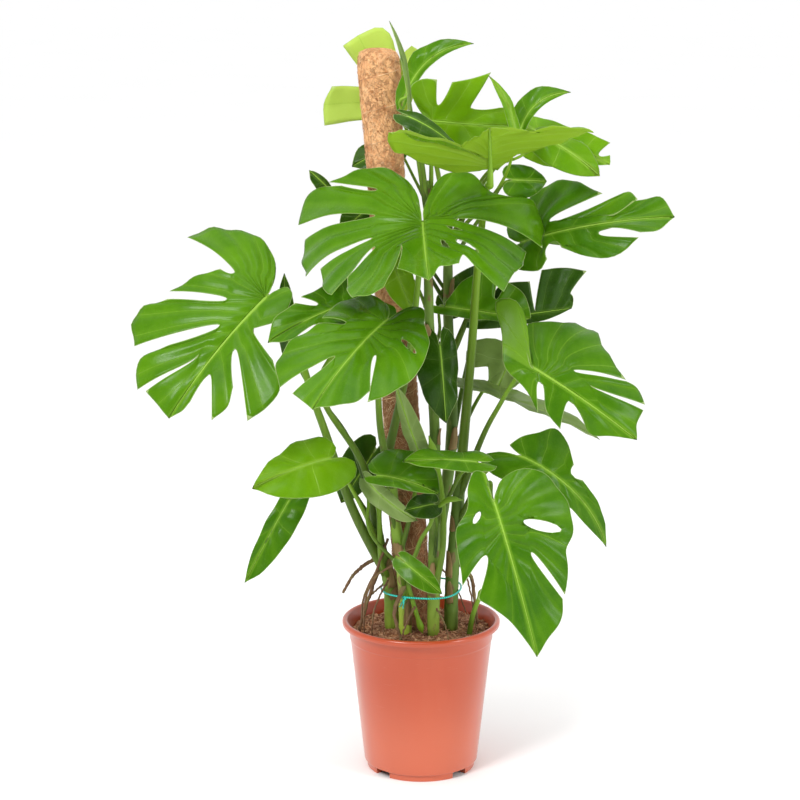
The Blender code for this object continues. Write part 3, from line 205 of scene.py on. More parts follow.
        tone="bright", joint=(0.132, -0.08, 0.964), tip=(0.093, -0.08, 1.052), face=(30, 10), wide=0.1,
        bend=0.06, fold=10, curl=-30, sway=0.06),
    "leaf_top_right_far": dict(
        tone="bright", joint=(0.155, 0.02, 0.971), tip=(0.273, 0.0, 0.919), face=(0, 15), wide=(0.26, 0.3),
        bend=0.1, fold=-10, curl=-20,
        left=[[(0.03, -0.08), (0.12, -0.06), (0.17, 0.15), (0.2, 0.44), (0.24, 0.7), (0.24, 0.92)],
            (0.04, 0.84), [(0.1, 0.96), (0, 1)]],
        right=[[(0.03, -0.08), (0.2, -0.12), (0.3, 0.0), (0.32, 0.3), (0.25, 0.65)], (0.08, 0.5),
            [(0.12, 0.75), (0.08, 0.85), (0, 1)]]),
    "leaf_top_right_near": dict(
        tone="bright", joint=(0.177, -0.02, 0.96), tip=(0.256, -0.03, 0.906), face=(0, 30), wide=0.32,
        bend=0.1, fold=-10, curl=-30),
    "leaf_upper_shaded": dict(
        tone="mid", joint=(0.131, 0.0, 0.897), tip=(0.183, 0.02, 0.893), face=(0, 20), wide=0.5, bend=0.02,
        fold=-10, curl=-20),
    "leaf_right_back": dict(
        tone="dark", joint=(0.091, 0.05, 0.683), tip=(0.226, 0.06, 0.698), face=(-5, 0), wide=(0.45, 0.12),
        bend=0.03, fold=0, curl=0,
        left=[[(0.04, -0.05), (0.12, 0.02), (0.24, 0.12), (0.36, 0.25), (0.37, 0.4), (0.36, 0.56)],
            (0.03, 0.59), [(0.47, 0.7), (0.46, 0.95), (0.39, 1.2)], (0.16, 1.0), [(0.1, 1.02), (0, 1)]]),
    "leaf_right_under": dict(
        tone="pale", joint=(0.141, 0.085, 0.626), tip=(0.11, 0.085, 0.558), face=(0, 5), wide=(0.4, 0.85),
        bend=0.04, fold=0, curl=-10,
        right=[[(0.1, -0.1), (0.45, -0.1), (0.87, 0.22), (0.86, 0.5), (0.7, 0.7)], (0.35, 0.5),
            [(0.28, 0.62), (0.16, 0.85), (0, 1)]]),
    "leaf_right_level": dict(
        tone="pale", joint=(0.072, 0.015, 0.585), tip=(0.266, 0.0, 0.509), face=(0, 84), wide=(0.22, 0.12),
        bend=0.04, fold=6, curl=-10),
    "leaf_bottom_small": dict(
        tone="mid", joint=(-0.025, -0.12, 0.354), tip=(0.029, -0.14, 0.312), face=(-10, 30),
        wide=(0.22, 0.28), bend=0.05, fold=8, curl=-20),
    "leaf_low_pale": dict(
        tone="pale", joint=(-0.076, -0.075, 0.46), tip=(-0.006, -0.115, 0.415), face=(0, -20),
        wide=(0.16, 0.24), bend=0.08, fold=0, curl=-20),
    "leaf_low_shaded": dict(
        tone="dark", joint=(0.017, -0.1, 0.436), tip=(-0.026, -0.12, 0.431), face=(0, 30), wide=(0.45, 0.4),
        bend=0.05, fold=10, curl=-20),
    "leaf_pole_left": dict(
        tone="dark", joint=(-0.039, 0.065, 0.937), tip=(-0.103, 0.06, 0.91), face=(-10, 35),
        wide=(0.35, 0.45), bend=0.08, fold=8, curl=-40),
    "leaf_pole_right": dict(
        tone="dark", joint=(-0.021, -0.085, 0.996), tip=(0.051, -0.095, 0.95), face=(10, 40),
        wide=(0.16, 0.22), bend=0.08, fold=8, curl=-40),
    "leaf_left_back": dict(
        tone="dark", joint=(-0.196, 0.0, 0.653), tip=(-0.202, 0.0, 0.76), face=(-10, 5), wide=0.14,
        bend=0.03, fold=4, curl=-10),
    "leaf_behind_front": dict(
        tone="dark", joint=(-0.074, 0.055, 0.854), tip=(-0.12, 0.05, 0.813), face=(0, 20), wide=(0.4, 0.45),
        bend=0.04, fold=6, curl=-20),
    "leaf_left_curl": dict(
        tone="dark", joint=(-0.139, 0.03, 0.883), tip=(-0.165, 0.02, 0.909), face=(10, 20),
        wide=(0.35, 0.2), bend=0.04, fold=6, curl=-20),
    "leaf_inner_light": dict(
        tone="mid", joint=(0.033, 0.012, 0.709), tip=(0.163, 0.028, 0.687), face=(0, 12), wide=(0.45, 0.1),
        bend=0.03, fold=0, curl=(-10, -20),
        left=[[(0.04, 0.0), (0.1, 0.04), (0.32, 0.18), (0.42, 0.38), (0.34, 0.56)], (0.16, 0.56),
            [(0.38, 0.66), (0.3, 0.84), (0.14, 0.95), (0, 1)]]),
    "leaf_inner_young": dict(
        tone="bright", joint=(-0.042, -0.034, 0.782), tip=(-0.01, -0.05, 0.705), face=(-20, 10),
        wide=(0.26, 0.3), bend=0.05, fold=8, curl=-20),
    "leaf_inner_back": dict(
        tone="dark", joint=(0.047, 0.09, 0.701), tip=(0.124, 0.1, 0.762), face=(0, 15), wide=(0.3, 0.26),
        bend=0.05, fold=0, curl=-20),
}

# Each plant: the line of its main stem, its foot radius and its top radius, then for each leaf
# the height where its stalk leaves the stem, the stalk's foot radius, and points it passes on the way.
# shoots: bare side stalks, each a foot radius and its line. roots: the lines of the aerial roots.
PLANTS = {
    "plant_left": dict(
        stem=[(-0.045, -0.008, 0.2212), (-0.048, -0.009, 0.29), (-0.066, -0.006, 0.36),
              (-0.074, 0.004, 0.43)],
        radii=(0.01, 0.0095),
        stalks={
            "leaf_left_large": (0.3, 0.0085, [(-0.098, -0.03, 0.4), (-0.152, -0.045, 0.56)]),
            "leaf_left_back": (0.39, 0.004, [(-0.11, 0.015, 0.51), (-0.18, 0.018, 0.61)]),
            "leaf_left_shaded": (0.36, 0.0065, [(-0.085, -0.02, 0.47), (-0.15, -0.03, 0.6)]),
            "leaf_heart_left": (0.34, 0.0045, [(-0.088, -0.06, 0.42)]),
            "leaf_hanging_left": (0.38, 0.0035, [(-0.13, -0.01, 0.452)]),
            "leaf_behind_left": (0.36, 0.004, [(-0.07, 0.072, 0.44)]),
        },
        shoots=[(0.0045, [(-0.05, -0.014, 0.3), (-0.06, -0.032, 0.332), (-0.062, -0.04, 0.378),
                          (-0.064, -0.04, 0.44)])],
        roots=[[(-0.066, -0.006, 0.33), (-0.1, -0.01, 0.305), (-0.118, -0.012, 0.275)],
               [(-0.06, -0.01, 0.325), (-0.082, -0.03, 0.262), (-0.094, -0.036, 0.224)]]),
    "plant_front": dict(
        stem=[(-0.024, -0.04, 0.2212), (-0.026, -0.04, 0.29), (-0.04, -0.034, 0.4),
              (-0.05, -0.03, 0.52)],
        radii=(0.0095, 0.0075),
        stalks={
            "leaf_front_large": (0.5, 0.007, [(-0.02, -0.06, 0.64), (-0.006, -0.08, 0.76)]),
            "leaf_front_left": (0.44, 0.0065, [(-0.062, -0.08, 0.56), (-0.06, -0.12, 0.65)]),
            "leaf_low_front": (0.36, 0.004, [(-0.048, -0.05, 0.43), (-0.056, -0.085, 0.477)]),
            "leaf_low_pale": (0.32, 0.0035, [(-0.08, -0.07, 0.4)]),
            "leaf_bottom_small": (0.29, 0.0035, [(-0.03, -0.08, 0.33)]),
            "leaf_young_upright": (0.34, 0.0045, [(-0.012, -0.055, 0.43)]),
        },
        shoots=[(0.0035, [(-0.026, -0.044, 0.33), (-0.012, -0.066, 0.345), (-0.001, -0.082, 0.378),
                          (0.012, -0.095, 0.404), (0.021, -0.098, 0.427), (0.039, -0.093, 0.441),
                          (0.06, -0.084, 0.438)]),
                (0.004, [(-0.027, -0.044, 0.322), (-0.012, -0.052, 0.27), (0.002, -0.052, 0.2235)])],
        roots=[[(-0.024, -0.045, 0.3), (-0.04, -0.075, 0.262), (-0.03, -0.082, 0.223)]]),
    "plant_centre": dict(
        stem=[(0.018, -0.042, 0.2212), (0.018, -0.042, 0.29), (0.02, -0.03, 0.5), (0.01, -0.032, 0.72),
              (0.008, -0.034, 0.9)],
        radii=(0.009, 0.006),
        stalks={
            "leaf_centre_hanging": (0.6, 0.004, [(0.022, -0.036, 0.64)]),
            "leaf_inner_light": (0.64, 0.0035, [(0.026, -0.006, 0.672)]),
            "leaf_inner_young": (0.7, 0.003, [(-0.01, -0.03, 0.75)]),
            "leaf_low_cross": (0.38, 0.004, [(0.06, -0.08, 0.48)]),
            "leaf_low_shaded": (0.32, 0.0035, [(0.022, -0.065, 0.4)]),
            "leaf_top_spear": (0.86, 0.004, [(-0.01, -0.06, 0.97)]),
            "leaf_top_curved": (0.84, 0.0045, [(-0.012, -0.022, 0.97)]),
            "leaf_pole_right": (0.84, 0.0035, [(-0.008, -0.055, 0.95)]),
            "leaf_top_bright": (0.82, 0.0045, [(0.012, -0.03, 0.94)]),
        },
        shoots=[(0.005, [(0.02, -0.046, 0.29), (0.031, -0.058, 0.355), (0.026, -0.066, 0.465),
                          (0.018, -0.072, 0.502), (0.01, -0.078, 0.533)])],
        roots=[]),
    "plant_right": dict(
        stem=[(0.045, -0.012, 0.2212), (0.046, -0.014, 0.29), (0.052, -0.016, 0.38), (0.058, -0.012, 0.46)],
        radii=(0.0105, 0.009),
        stalks={
            "leaf_top_wide": (0.44, 0.0085, [(0.072, -0.03, 0.64), (0.086, -0.008, 0.82),
                                             (0.094, -0.006, 0.886)]),
            "leaf_right_low": (0.36, 0.0045, [(0.082, -0.08, 0.44), (0.098, -0.16, 0.48)]),
            "leaf_right_large": (0.42, 0.0055, [(0.105, -0.06, 0.56)]),
            "leaf_right_folded": (0.38, 0.0045, [(0.1, -0.06, 0.48)]),
            "leaf_right_level": (0.43, 0.0035, [(0.066, 0.015, 0.555)]),
        },
        shoots=[],
        roots=[[(0.047, -0.014, 0.33), (0.072, -0.011, 0.305), (0.081, -0.008, 0.262),
                (0.085, -0.006, 0.224)]]),
    "plant_back": dict(
        stem=[(0.018, 0.04, 0.2212), (0.022, 0.042, 0.3), (0.046, 0.05, 0.5), (0.04, 0.06, 0.7),
              (0.04, 0.056, 0.86)],
        radii=(0.01, 0.0065),
        stalks={
            "leaf_right_back": (0.46, 0.005, [(0.07, 0.072, 0.61)]),
            "leaf_right_under": (0.46, 0.004, [(0.09, 0.08, 0.56)]),
            "leaf_inner_back": (0.6, 0.004, [(0.046, 0.1, 0.672)]),
            "leaf_right_high": (0.62, 0.0055, [(0.1, 0.055, 0.74)]),
            "leaf_upper_shaded": (0.76, 0.004, [(0.1, 0.02, 0.86)]),
            "leaf_top_right_far": (0.8, 0.004, [(0.12, 0.04, 0.93)]),
            "leaf_top_right_near": (0.78, 0.0035, [(0.108, 0.026, 0.915), (0.143, -0.004, 0.932),
                                                   (0.166, -0.003, 0.947)]),
            "leaf_top_right_upright": (0.82, 0.004, [(0.11, 0.0, 0.92)]),
            "leaf_top_right_curl": (0.8, 0.0035, [(0.112, 0.006, 0.885), (0.128, -0.045, 0.935)]),
            "leaf_top_back": (0.82, 0.0045, [(0.01, 0.07, 0.96)]),
            "leaf_behind_front": (0.7, 0.0035, [(-0.01, 0.07, 0.78), (-0.055, 0.07, 0.835)]),
            "leaf_left_curl": (0.72, 0.003, [(-0.02, 0.075, 0.8), (-0.11, 0.06, 0.87)]),
            "leaf_pole_left": (0.78, 0.0035, [(-0.01, 0.072, 0.89)]),
        },
        shoots=[],
        roots=[]),
}

# Small holes beside the midrib: half (0 left, 1 right), inner end, outer end and half width,
# as shares of the length.
HOLES = {
    "leaf_front_large": [(0, (0.19, 0.085), (0.32, 0.115), 0.018), (0, (0.26, 0.25), (0.44, 0.40), 0.024),
                         (0, (0.14, 0.26), (0.20, 0.38), 0.018)],
    "leaf_front_left": [(0, (0.24, 0.17), (0.41, 0.25), 0.026)],
    "leaf_right_low": [(0, (0.14, 0.17), (0.36, 0.29), 0.034), (1, (0.10, 0.04), (0.16, 0.10), 0.018)],
}

# Thin aerial roots too small for the model: radius, then the line of each.
# A green shoot comes up beside them.
THIN_ROOTS = [
    (0.0021, [(-0.050, -0.030, 0.365), (-0.070, -0.048, 0.314), (-0.084, -0.052, 0.285),
              (-0.092, -0.045, 0.224)]),
    (0.0018, [(-0.040, -0.048, 0.330), (-0.069, -0.058, 0.313), (-0.083, -0.060, 0.278),
              (-0.086, -0.055, 0.223)]),
    (0.0018, [(-0.050, -0.030, 0.300), (-0.071, -0.066, 0.262), (-0.074, -0.062, 0.222)]),
    (0.0017, [(-0.010, -0.060, 0.268), (-0.023, -0.082, 0.248), (-0.032, -0.085, 0.222)]),
    (0.0015, [(0.060, -0.018, 0.330), (0.074, -0.030, 0.280), (0.083, -0.030, 0.222)]),
    (0.0016, [(-0.055, -0.010, 0.290), (-0.080, 0.000, 0.262), (-0.092, 0.012, 0.222)]),
    (0.0016, [(0.028, 0.046, 0.300), (0.052, 0.062, 0.268), (0.070, 0.060, 0.222)]),
    (0.0015, [(0.022, -0.048, 0.262), (0.034, -0.066, 0.244), (0.040, -0.078, 0.222)]),
]
SPROUT = [(0.072, -0.035, 0.217), (0.078, -0.036, 0.250), (0.086, -0.036, 0.272), (0.094, -0.035, 0.290)]

# Each kind of leaf: the upper face from deep to light, veins, lower face, the colour and share of the
# light that comes through, and the finish.
GREENS = {
    "mid": dict(deep=(0.036, 0.130, 0.002), light=(0.115, 0.285, 0.004), vein=(0.22, 0.42, 0.030),
                under=(0.13, 0.25, 0.040), glow=(0.20, 0.60, 0.01), share=0.15, roughness=0.22, gloss=0.12),
    # bright is partly the lighter green of young leaves and partly painted light, for top leaves lit from
    # behind.
    "bright": dict(deep=(0.070, 0.215, 0.003), light=(0.185, 0.360, 0.006), vein=(0.34, 0.52, 0.07),
                   under=(0.29, 0.46, 0.02), glow=(0.66, 0.92, 0.05), share=0.32, roughness=0.26, gloss=0.14),
    # dark is painted shade: a shaded copy of the green for leaves deep inside the plant.
    "dark": dict(deep=(0.014, 0.052, 0.002), light=(0.046, 0.125, 0.005), vein=(0.11, 0.22, 0.025),
                 under=(0.07, 0.14, 0.030), glow=(0.10, 0.30, 0.01), share=0.10, roughness=0.24, gloss=0.16),
    "pale": dict(deep=(0.150, 0.235, 0.050), light=(0.240, 0.340, 0.100), vein=(0.36, 0.50, 0.16),
                 under=(0.22, 0.32, 0.10), glow=(0.40, 0.60, 0.10), share=0.22, roughness=0.36, gloss=0.18),
}

# How light each leaf is within its kind of green: 0 deep, 1 light, and 0.4 where it isn't named.
# From 0.9 to 1.3 a leaf is also painted pale yellow-green, a painted glow of light shining through it.
# Partly each leaf's own tone and partly painted light and shade: leaves in shade are set darker, lit ones
# lighter.
SHADES = {
    "leaf_front_large": 0.42, "leaf_front_left": 0.38, "leaf_left_large": 0.42, "leaf_right_large": 0.12,
    "leaf_right_low": -0.05, "leaf_right_high": 0.12, "leaf_right_folded": 0.05, "leaf_left_shaded": 0.05,
    "leaf_heart_left": 0.20, "leaf_hanging_left": 0.0, "leaf_low_front": 0.25, "leaf_low_cross": 0.35,
    "leaf_bottom_small": 0.20, "leaf_top_back": 1.30, "leaf_top_wide": 0.45, "leaf_top_bright": 0.50,
    "leaf_top_curved": 0.10, "leaf_top_right_upright": 0.10, "leaf_top_right_far": 0.30,
    "leaf_top_right_near": 0.30, "leaf_top_right_curl": 0.60, "leaf_inner_light": 0.35,
    "leaf_inner_young": 0.40, "leaf_upper_shaded": 0.0,
}

# How light each plant's main stem is, in the same way.
STEM_SHADES = {
    "plant_left": 0.5, "plant_front": 1.0, "plant_centre": 0.35, "plant_right": 0.15, "plant_back": 0.2,
}


# Shader writing

class Value:
    """A number that varies over a surface. Arithmetic on it adds Math nodes."""

    def __init__(self, paint, socket):
        self.paint = paint
        self.socket = socket

    def math(self, operation, *others, clamp=False):
        values = [value.socket if isinstance(value, Value) else value for value in (self, *others)]
        node = self.paint.node("ShaderNodeMath", {"operation": operation, "use_clamp": clamp},
                               dict(enumerate(values)))
        return Value(self.paint, node.outputs[0])

    def __add__(self, other):
        return self.math("ADD", other)

    def __sub__(self, other):
        return self.math("SUBTRACT", other)

    def __rsub__(self, other):
        return (self * -1.0).math("ADD", other)

    def __mul__(self, other):
        return self.math("MULTIPLY", other)

    def __truediv__(self, other):
        return self.math("DIVIDE", other)

    __radd__ = __add__
    __rmul__ = __mul__

    def clip(self):
        return self.math("ADD", 0.0, clamp=True)

    def between(self, low, high):
        """0 below low, 1 above high, and a smooth rise between."""
        share = ((self - low) / (high - low)).clip()
        return share * share * (3.0 - 2.0 * share)


class Paint:
    """One node material, built by small named steps."""

    def __init__(self, name):
        self.material = bpy.data.materials.new(name)
        self.material.use_nodes = True
        self.tree = self.material.node_tree
        self.tree.nodes.clear()

    def node(self, kind, settings=None, sockets=None):
        made = self.tree.nodes.new(kind)
        for key, value in (settings or {}).items():
            setattr(made, key, value)
        for key, value in (sockets or {}).items():
            value = value.socket if isinstance(value, Value) else value
            if isinstance(value, bpy.types.NodeSocket):
                self.tree.links.new(value, made.inputs[key])
            else:
                made.inputs[key].default_value = value
        return made

    def stored(self, name):
        return Value(self, self.node("ShaderNodeAttribute", {"attribute_name": name}).outputs["Fac"])

    def place(self, name=None):
        if name:
            return self.node("ShaderNodeAttribute", {"attribute_name": name}).outputs["Vector"]
        return self.node("ShaderNodeTexCoord").outputs["Object"]

    def stretched(self, vector, scale):
        return self.node("ShaderNodeVectorMath", {"operation": "MULTIPLY"}, {0: vector, 1: scale}).outputs[0]

    def cloud(self, vector, scale, detail=3.0, roughness=0.5, distortion=0.0):
        made = self.node("ShaderNodeTexNoise", None, {"Vector": vector, "Scale": scale, "Detail": detail,
                                                      "Roughness": roughness, "Distortion": distortion})
        return Value(self, made.outputs["Fac"])

    def cells(self, vector, scale, feature="F1"):
        made = self.node("ShaderNodeTexVoronoi", {"feature": feature}, {"Vector": vector, "Scale": scale})
        return Value(self, made.outputs["Distance"])

    def blend(self, factor, first, second, mode="MIX"):
        """The first colour, turning into the second as the factor rises."""
        first, second = ((*c, 1.0) if isinstance(c, tuple) else c for c in (first, second))
        made = self.node("ShaderNodeMix", {"data_type": "RGBA", "blend_type": mode},
                         {"Factor": factor, 6: first, 7: second})
        return made.outputs[2]

    def relief(self, height, depth, strength=1.0, under=None):
        sockets = {"Height": height, "Distance": depth, "Strength": strength}
        if under is not None:
            sockets["Normal"] = under
        return self.node("ShaderNodeBump", None, sockets).outputs["Normal"]

    def finish(self, colour, roughness, normal=None, glow=None, share=0.0, **extra):
        sockets = {"Base Color": colour, "Roughness": roughness, **extra}
        if normal is not None:
            sockets["Normal"] = normal
        surface = self.node("ShaderNodeBsdfPrincipled", None, sockets).outputs[0]
        if glow is not None:
            through = {"Color": (*glow, 1.0)}
            if normal is not None:
                through["Normal"] = normal
            light = self.node("ShaderNodeBsdfTranslucent", None, through).outputs[0]
            surface = self.node("ShaderNodeMixShader", None, {0: share, 1: surface, 2: light}).outputs[0]
        self.node("ShaderNodeOutputMaterial", None, {"Surface": surface})
        return self.material


def leaf_upper(tone):
    green = GREENS[tone]
    paint = Paint(f"leaf_{tone}_upper")
    flat = paint.place("flat")
    tint = paint.stored("tint")
    rib = paint.stored("rib")
    vein = paint.stored("vein")
    edge = paint.stored("edge")
    drift = paint.cloud(flat, 16.0, 2.0)
    mottle = paint.cloud(flat, 110.0, 3.0)
    cells = paint.cells(flat, 420.0, "DISTANCE_TO_EDGE")
    # The stored tint lightens or darkens the leaf: partly its own tone, partly painted light and shade.
    light = (1.1 * drift + 0.3 * mottle + 0.55 * tint - 0.48).clip()
    colour = paint.blend(light, green["deep"], green["light"])
    # Painted light: above a tint of 0.9 the face turns pale yellow-green, a painted glow of light shining
    # through.
    colour = paint.blend(tint.between(0.9, 1.3), colour, (0.52, 0.65, 0.13))
    # A broad lighter band either side of each side vein: a painted highlight.
    painted_vein_highlight = 1.0 - vein.between(0.0012, 0.0075)
    colour = paint.blend(painted_vein_highlight * 0.10, colour, green["vein"])
    thread = 1.0 - vein.between(0.0002, 0.0009)
    colour = paint.blend(thread * 0.32, colour, green["vein"])
    web = 1.0 - cells.between(0.0, 0.10)
    colour = paint.blend(web * 0.06, colour, green["vein"])
    colour = paint.blend((1.0 - rib.between(0.0016, 0.0050)) * 0.5, colour, green["vein"])
    colour = paint.blend((1.0 - edge.between(0.0002, 0.0011)) * 0.7, colour, (0.45, 0.55, 0.22))
    specks = paint.cloud(flat, 260.0, 1.0).between(0.70, 0.78)
    colour = paint.blend(specks * 0.15, colour, (0.16, 0.26, 0.05))
    height = 0.6 * paint.cloud(flat, 60.0, 2.0) + 0.12 * cells - 0.5 * thread
    roughness = green["roughness"] + 0.16 * (mottle - 0.5) + 0.08 * web
    return paint.finish(colour, roughness, paint.relief(height, 0.0007, 0.8), green["glow"], green["share"],
                        **{"Specular IOR Level": green["gloss"]})


def leaf_under(tone):
    green = GREENS[tone]
    paint = Paint(f"leaf_{tone}_under")
    flat = paint.place("flat")
    vein = paint.stored("vein")
    drift = paint.cloud(flat, 30.0, 3.0)
    cells = paint.cells(flat, 420.0, "DISTANCE_TO_EDGE")
    colour = paint.blend(drift, green["under"], tuple(0.75 * part for part in green["under"]))
    # Painted light: above a tint of 0.9 the lower face turns pale yellow-green, a painted glow of light shining
    # through.
    colour = paint.blend(paint.stored("tint").between(0.9, 1.3), colour, (0.54, 0.67, 0.14))
    thread = 1.0 - vein.between(0.0004, 0.0016)
    colour = paint.blend(thread * 0.6, colour, green["vein"])
    web = 1.0 - cells.between(0.0, 0.12)
    colour = paint.blend(web * 0.25, colour, green["vein"])
    normal = paint.relief(thread + 0.3 * web, 0.0006, 0.8)
    return paint.finish(colour, 0.55 + 0.1 * drift, normal, green["glow"], green["share"],
                        **{"Specular IOR Level": 0.25})


def leaf_edge(tone):
    green = GREENS[tone]
    paint = Paint(f"leaf_{tone}_edge")
    dry = paint.cloud(paint.place("flat"), 45.0, 2.0).between(0.58, 0.70)
    colour = paint.blend(dry * 0.7, tuple(0.6 * a + 0.3 * b for a, b in zip(green["vein"], green["light"])),
                         (0.30, 0.24, 0.10))
    return paint.finish(colour, 0.5)


def stalk_skin():
    paint = Paint("stalk_skin")
    along = paint.stored("along")
    tint = paint.stored("tint")
    place = paint.place()
    streaks = paint.cloud(paint.stretched(place, (240.0, 240.0, 14.0)), 1.0, 3.0)
    spots = paint.cloud(place, 190.0, 2.0)
    low = paint.blend(tint, (0.026, 0.060, 0.006), (0.120, 0.215, 0.012))
    high = paint.blend(tint, (0.075, 0.170, 0.008), (0.220, 0.400, 0.018))
    colour = paint.blend(along.between(0.20, 0.85), low, high)
    colour = paint.blend(along.between(0.90, 1.02), colour, (0.250, 0.450, 0.040))
    colour = paint.blend(streaks.between(0.45, 0.75) * 0.22, colour, (0.24, 0.38, 0.04))
    rust = spots.between(0.60, 0.72) * (1.0 - along.between(0.1, 0.6))
    colour = paint.blend(rust * 0.5, colour, (0.16, 0.09, 0.03))
    normal = paint.relief(streaks + 0.3 * spots, 0.0005, 0.5)
    return paint.finish(colour, 0.40 + 0.15 * spots, normal, (0.5, 0.75, 0.05), 0.06,
                        **{"Specular IOR Level": 0.28})


def stem_skin():
    paint = Paint("stem_skin")
    place = paint.place()
    along = paint.stored("along")
    patches = paint.cloud(place, 34.0, 4.0)
    grain = paint.cloud(paint.stretched(place, (150.0, 150.0, 40.0)), 1.0, 4.0)
    shade = paint.stored("tint")
    dark = paint.blend(patches, (0.040, 0.095, 0.010), (0.120, 0.220, 0.022))
    bright = paint.blend(patches, (0.130, 0.250, 0.018), (0.300, 0.470, 0.040))
    colour = paint.blend(shade, dark, bright)
    colour = paint.blend((1.0 - along.between(0.02, 0.25)) * shade, colour, (0.360, 0.500, 0.045))
    bark = (patches + 0.08 * along).between(0.62, 0.68)
    colour = paint.blend(bark * 0.8, colour, (0.170, 0.095, 0.040))
    colour = paint.blend(grain.between(0.60, 0.72) * 0.25, colour, (0.30, 0.30, 0.12))
    normal = paint.relief(grain + 0.5 * patches, 0.0010, 0.8)
    return paint.finish(colour, 0.62 + 0.1 * grain, normal)


def root_skin():
    paint = Paint("root_skin")
    place = paint.place()
    grain = paint.cloud(place, 180.0, 4.0)
    colour = paint.blend(grain, (0.070, 0.035, 0.016), (0.230, 0.120, 0.050))
    colour = paint.blend(paint.cloud(place, 45.0).between(0.5, 0.7) * 0.5, colour, (0.20, 0.19, 0.06))
    return paint.finish(colour, 0.8, paint.relief(grain, 0.0012, 0.9))


def sheath_skin():
    paint = Paint("sheath_skin")
    place = paint.place()
    grain = paint.cloud(paint.stretched(place, (300.0, 300.0, 30.0)), 1.0, 3.0)
    colour = paint.blend(grain, (0.16, 0.085, 0.030), (0.40, 0.28, 0.11))
    return paint.finish(colour, 0.75, paint.relief(grain, 0.0008, 0.8), (0.6, 0.4, 0.15), 0.15)


def coir_skin():
    paint = Paint("coir_skin")
    place = paint.place()
    low = paint.stored("along")
    tangle = paint.cloud(paint.stretched(place, (1.0, 1.0, 0.8)), 95.0, 6.0, 0.65, 1.6)
    fibres = paint.cloud(paint.stretched(place, (420.0, 420.0, 110.0)), 1.0, 4.0, 0.6, 2.0)
    wander = paint.node("ShaderNodeTexNoise", None,
                        {"Vector": place, "Scale": 55.0, "Detail": 4.0}).outputs["Color"]
    bent = paint.node("ShaderNodeVectorMath", {"operation": "MULTIPLY_ADD"},
                      {0: wander, 1: (0.035, 0.035, 0.035), 2: place}).outputs[0]
    seam = (paint.cloud(paint.stretched(bent, (1.0, 1.0, 1.8)), 40.0, 3.0, 0.6, 0.8) - 0.5).math("ABSOLUTE")
    cracks = 1.0 - seam.between(0.0, 0.022)
    colour = paint.blend(tangle.between(0.3, 0.7), (0.60, 0.250, 0.095), (0.94, 0.55, 0.270))
    colour = paint.blend(fibres.between(0.5, 0.8) * 0.5, colour, (0.97, 0.70, 0.42))
    # The cracks between the fibre tufts are painted dark brown: painted shade in the recesses.
    colour = paint.blend(cracks * tangle.between(0.42, 0.60) * 0.45, colour, (0.34, 0.12, 0.045))
    # Darker and browner from high up the pole down to its foot: painted shade under the leaves.
    colour = paint.blend((1.0 - low.between(0.30, 0.85)) * 0.70, colour, (0.140, 0.050, 0.022))
    normal = paint.relief(tangle + 0.8 * fibres - 0.8 * cracks, 0.0028, 1.0)
    return paint.finish(colour, 0.95, normal, **{"Specular IOR Level": 0.15})


def fibre_skin():
    paint = Paint("coir_fibre")
    drift = paint.cloud(paint.place(), 60.0, 2.0)
    colour = paint.blend(drift.between(0.35, 0.65), (0.42, 0.18, 0.07), (0.90, 0.60, 0.34))
    return paint.finish(colour, 0.8)


def soil_skin():
    paint = Paint("soil_skin")
    place = paint.place()
    lumps = paint.cloud(place, 70.0, 6.0, 0.7)
    grit = paint.cells(place, 320.0)
    colour = paint.blend(lumps.between(0.3, 0.7), (0.150, 0.052, 0.022), (0.420, 0.190, 0.088))
    colour = paint.blend(paint.cloud(place, 210.0, 3.0).between(0.56, 0.68), colour, (0.54, 0.31, 0.17))
    normal = paint.relief(lumps + 0.4 * grit, 0.005, 1.0)
    return paint.finish(colour, 0.95, normal, **{"Specular IOR Level": 0.2})


def chip_skin():
    paint = Paint("bark_chip")
    tone = paint.stored("tint")
    grain = paint.cloud(paint.place(), 240.0, 3.0)
    colour = paint.blend(tone, (0.20, 0.070, 0.030), (0.60, 0.34, 0.19))
    colour = paint.blend(grain * 0.4, colour, (0.18, 0.075, 0.035))
    return paint.finish(colour, 0.9, paint.relief(grain, 0.001, 0.8))


def pot_plastic():
    paint = Paint("pot_plastic")
    place = paint.place()
    drift = paint.cloud(place, 7.0, 3.0)
    grain = paint.cloud(place, 900.0, 2.0)
    flow = paint.cloud(paint.stretched(place, (30.0, 30.0, 4.0)), 1.0, 3.0)
    scuffs = paint.cloud(paint.stretched(place, (60.0, 60.0, 600.0)), 1.0, 2.0).between(0.66, 0.74)
    height = Value(paint, paint.node("ShaderNodeSeparateXYZ", None, {0: place}).outputs["Z"])
    colour = paint.blend(drift.between(0.3, 0.7), (0.430, 0.052, 0.007), (0.465, 0.060, 0.009))
    # Painted reflection: towards the bottom the pot is painted lighter and pinker, for the white floor
    # reflected in it.
    colour = paint.blend((1.0 - height.between(0.03, 0.17)) * 0.75, colour, (0.600, 0.135, 0.062))
    colour = paint.blend(flow.between(0.50, 0.75) * 0.10, colour, (0.56, 0.12, 0.05))
    colour = paint.blend(scuffs * 0.05, colour, (0.70, 0.36, 0.26))
    roughness = 0.30 + 0.08 * flow + 0.08 * scuffs
    normal = paint.relief(0.15 * grain + drift, 0.00012, 0.4)
    return paint.finish(colour, roughness, normal,
                        **{"Specular IOR Level": 0.45, "Coat Weight": 0.45, "Coat Roughness": 0.20,
                           "Sheen Weight": 0.20, "Sheen Roughness": 0.26})


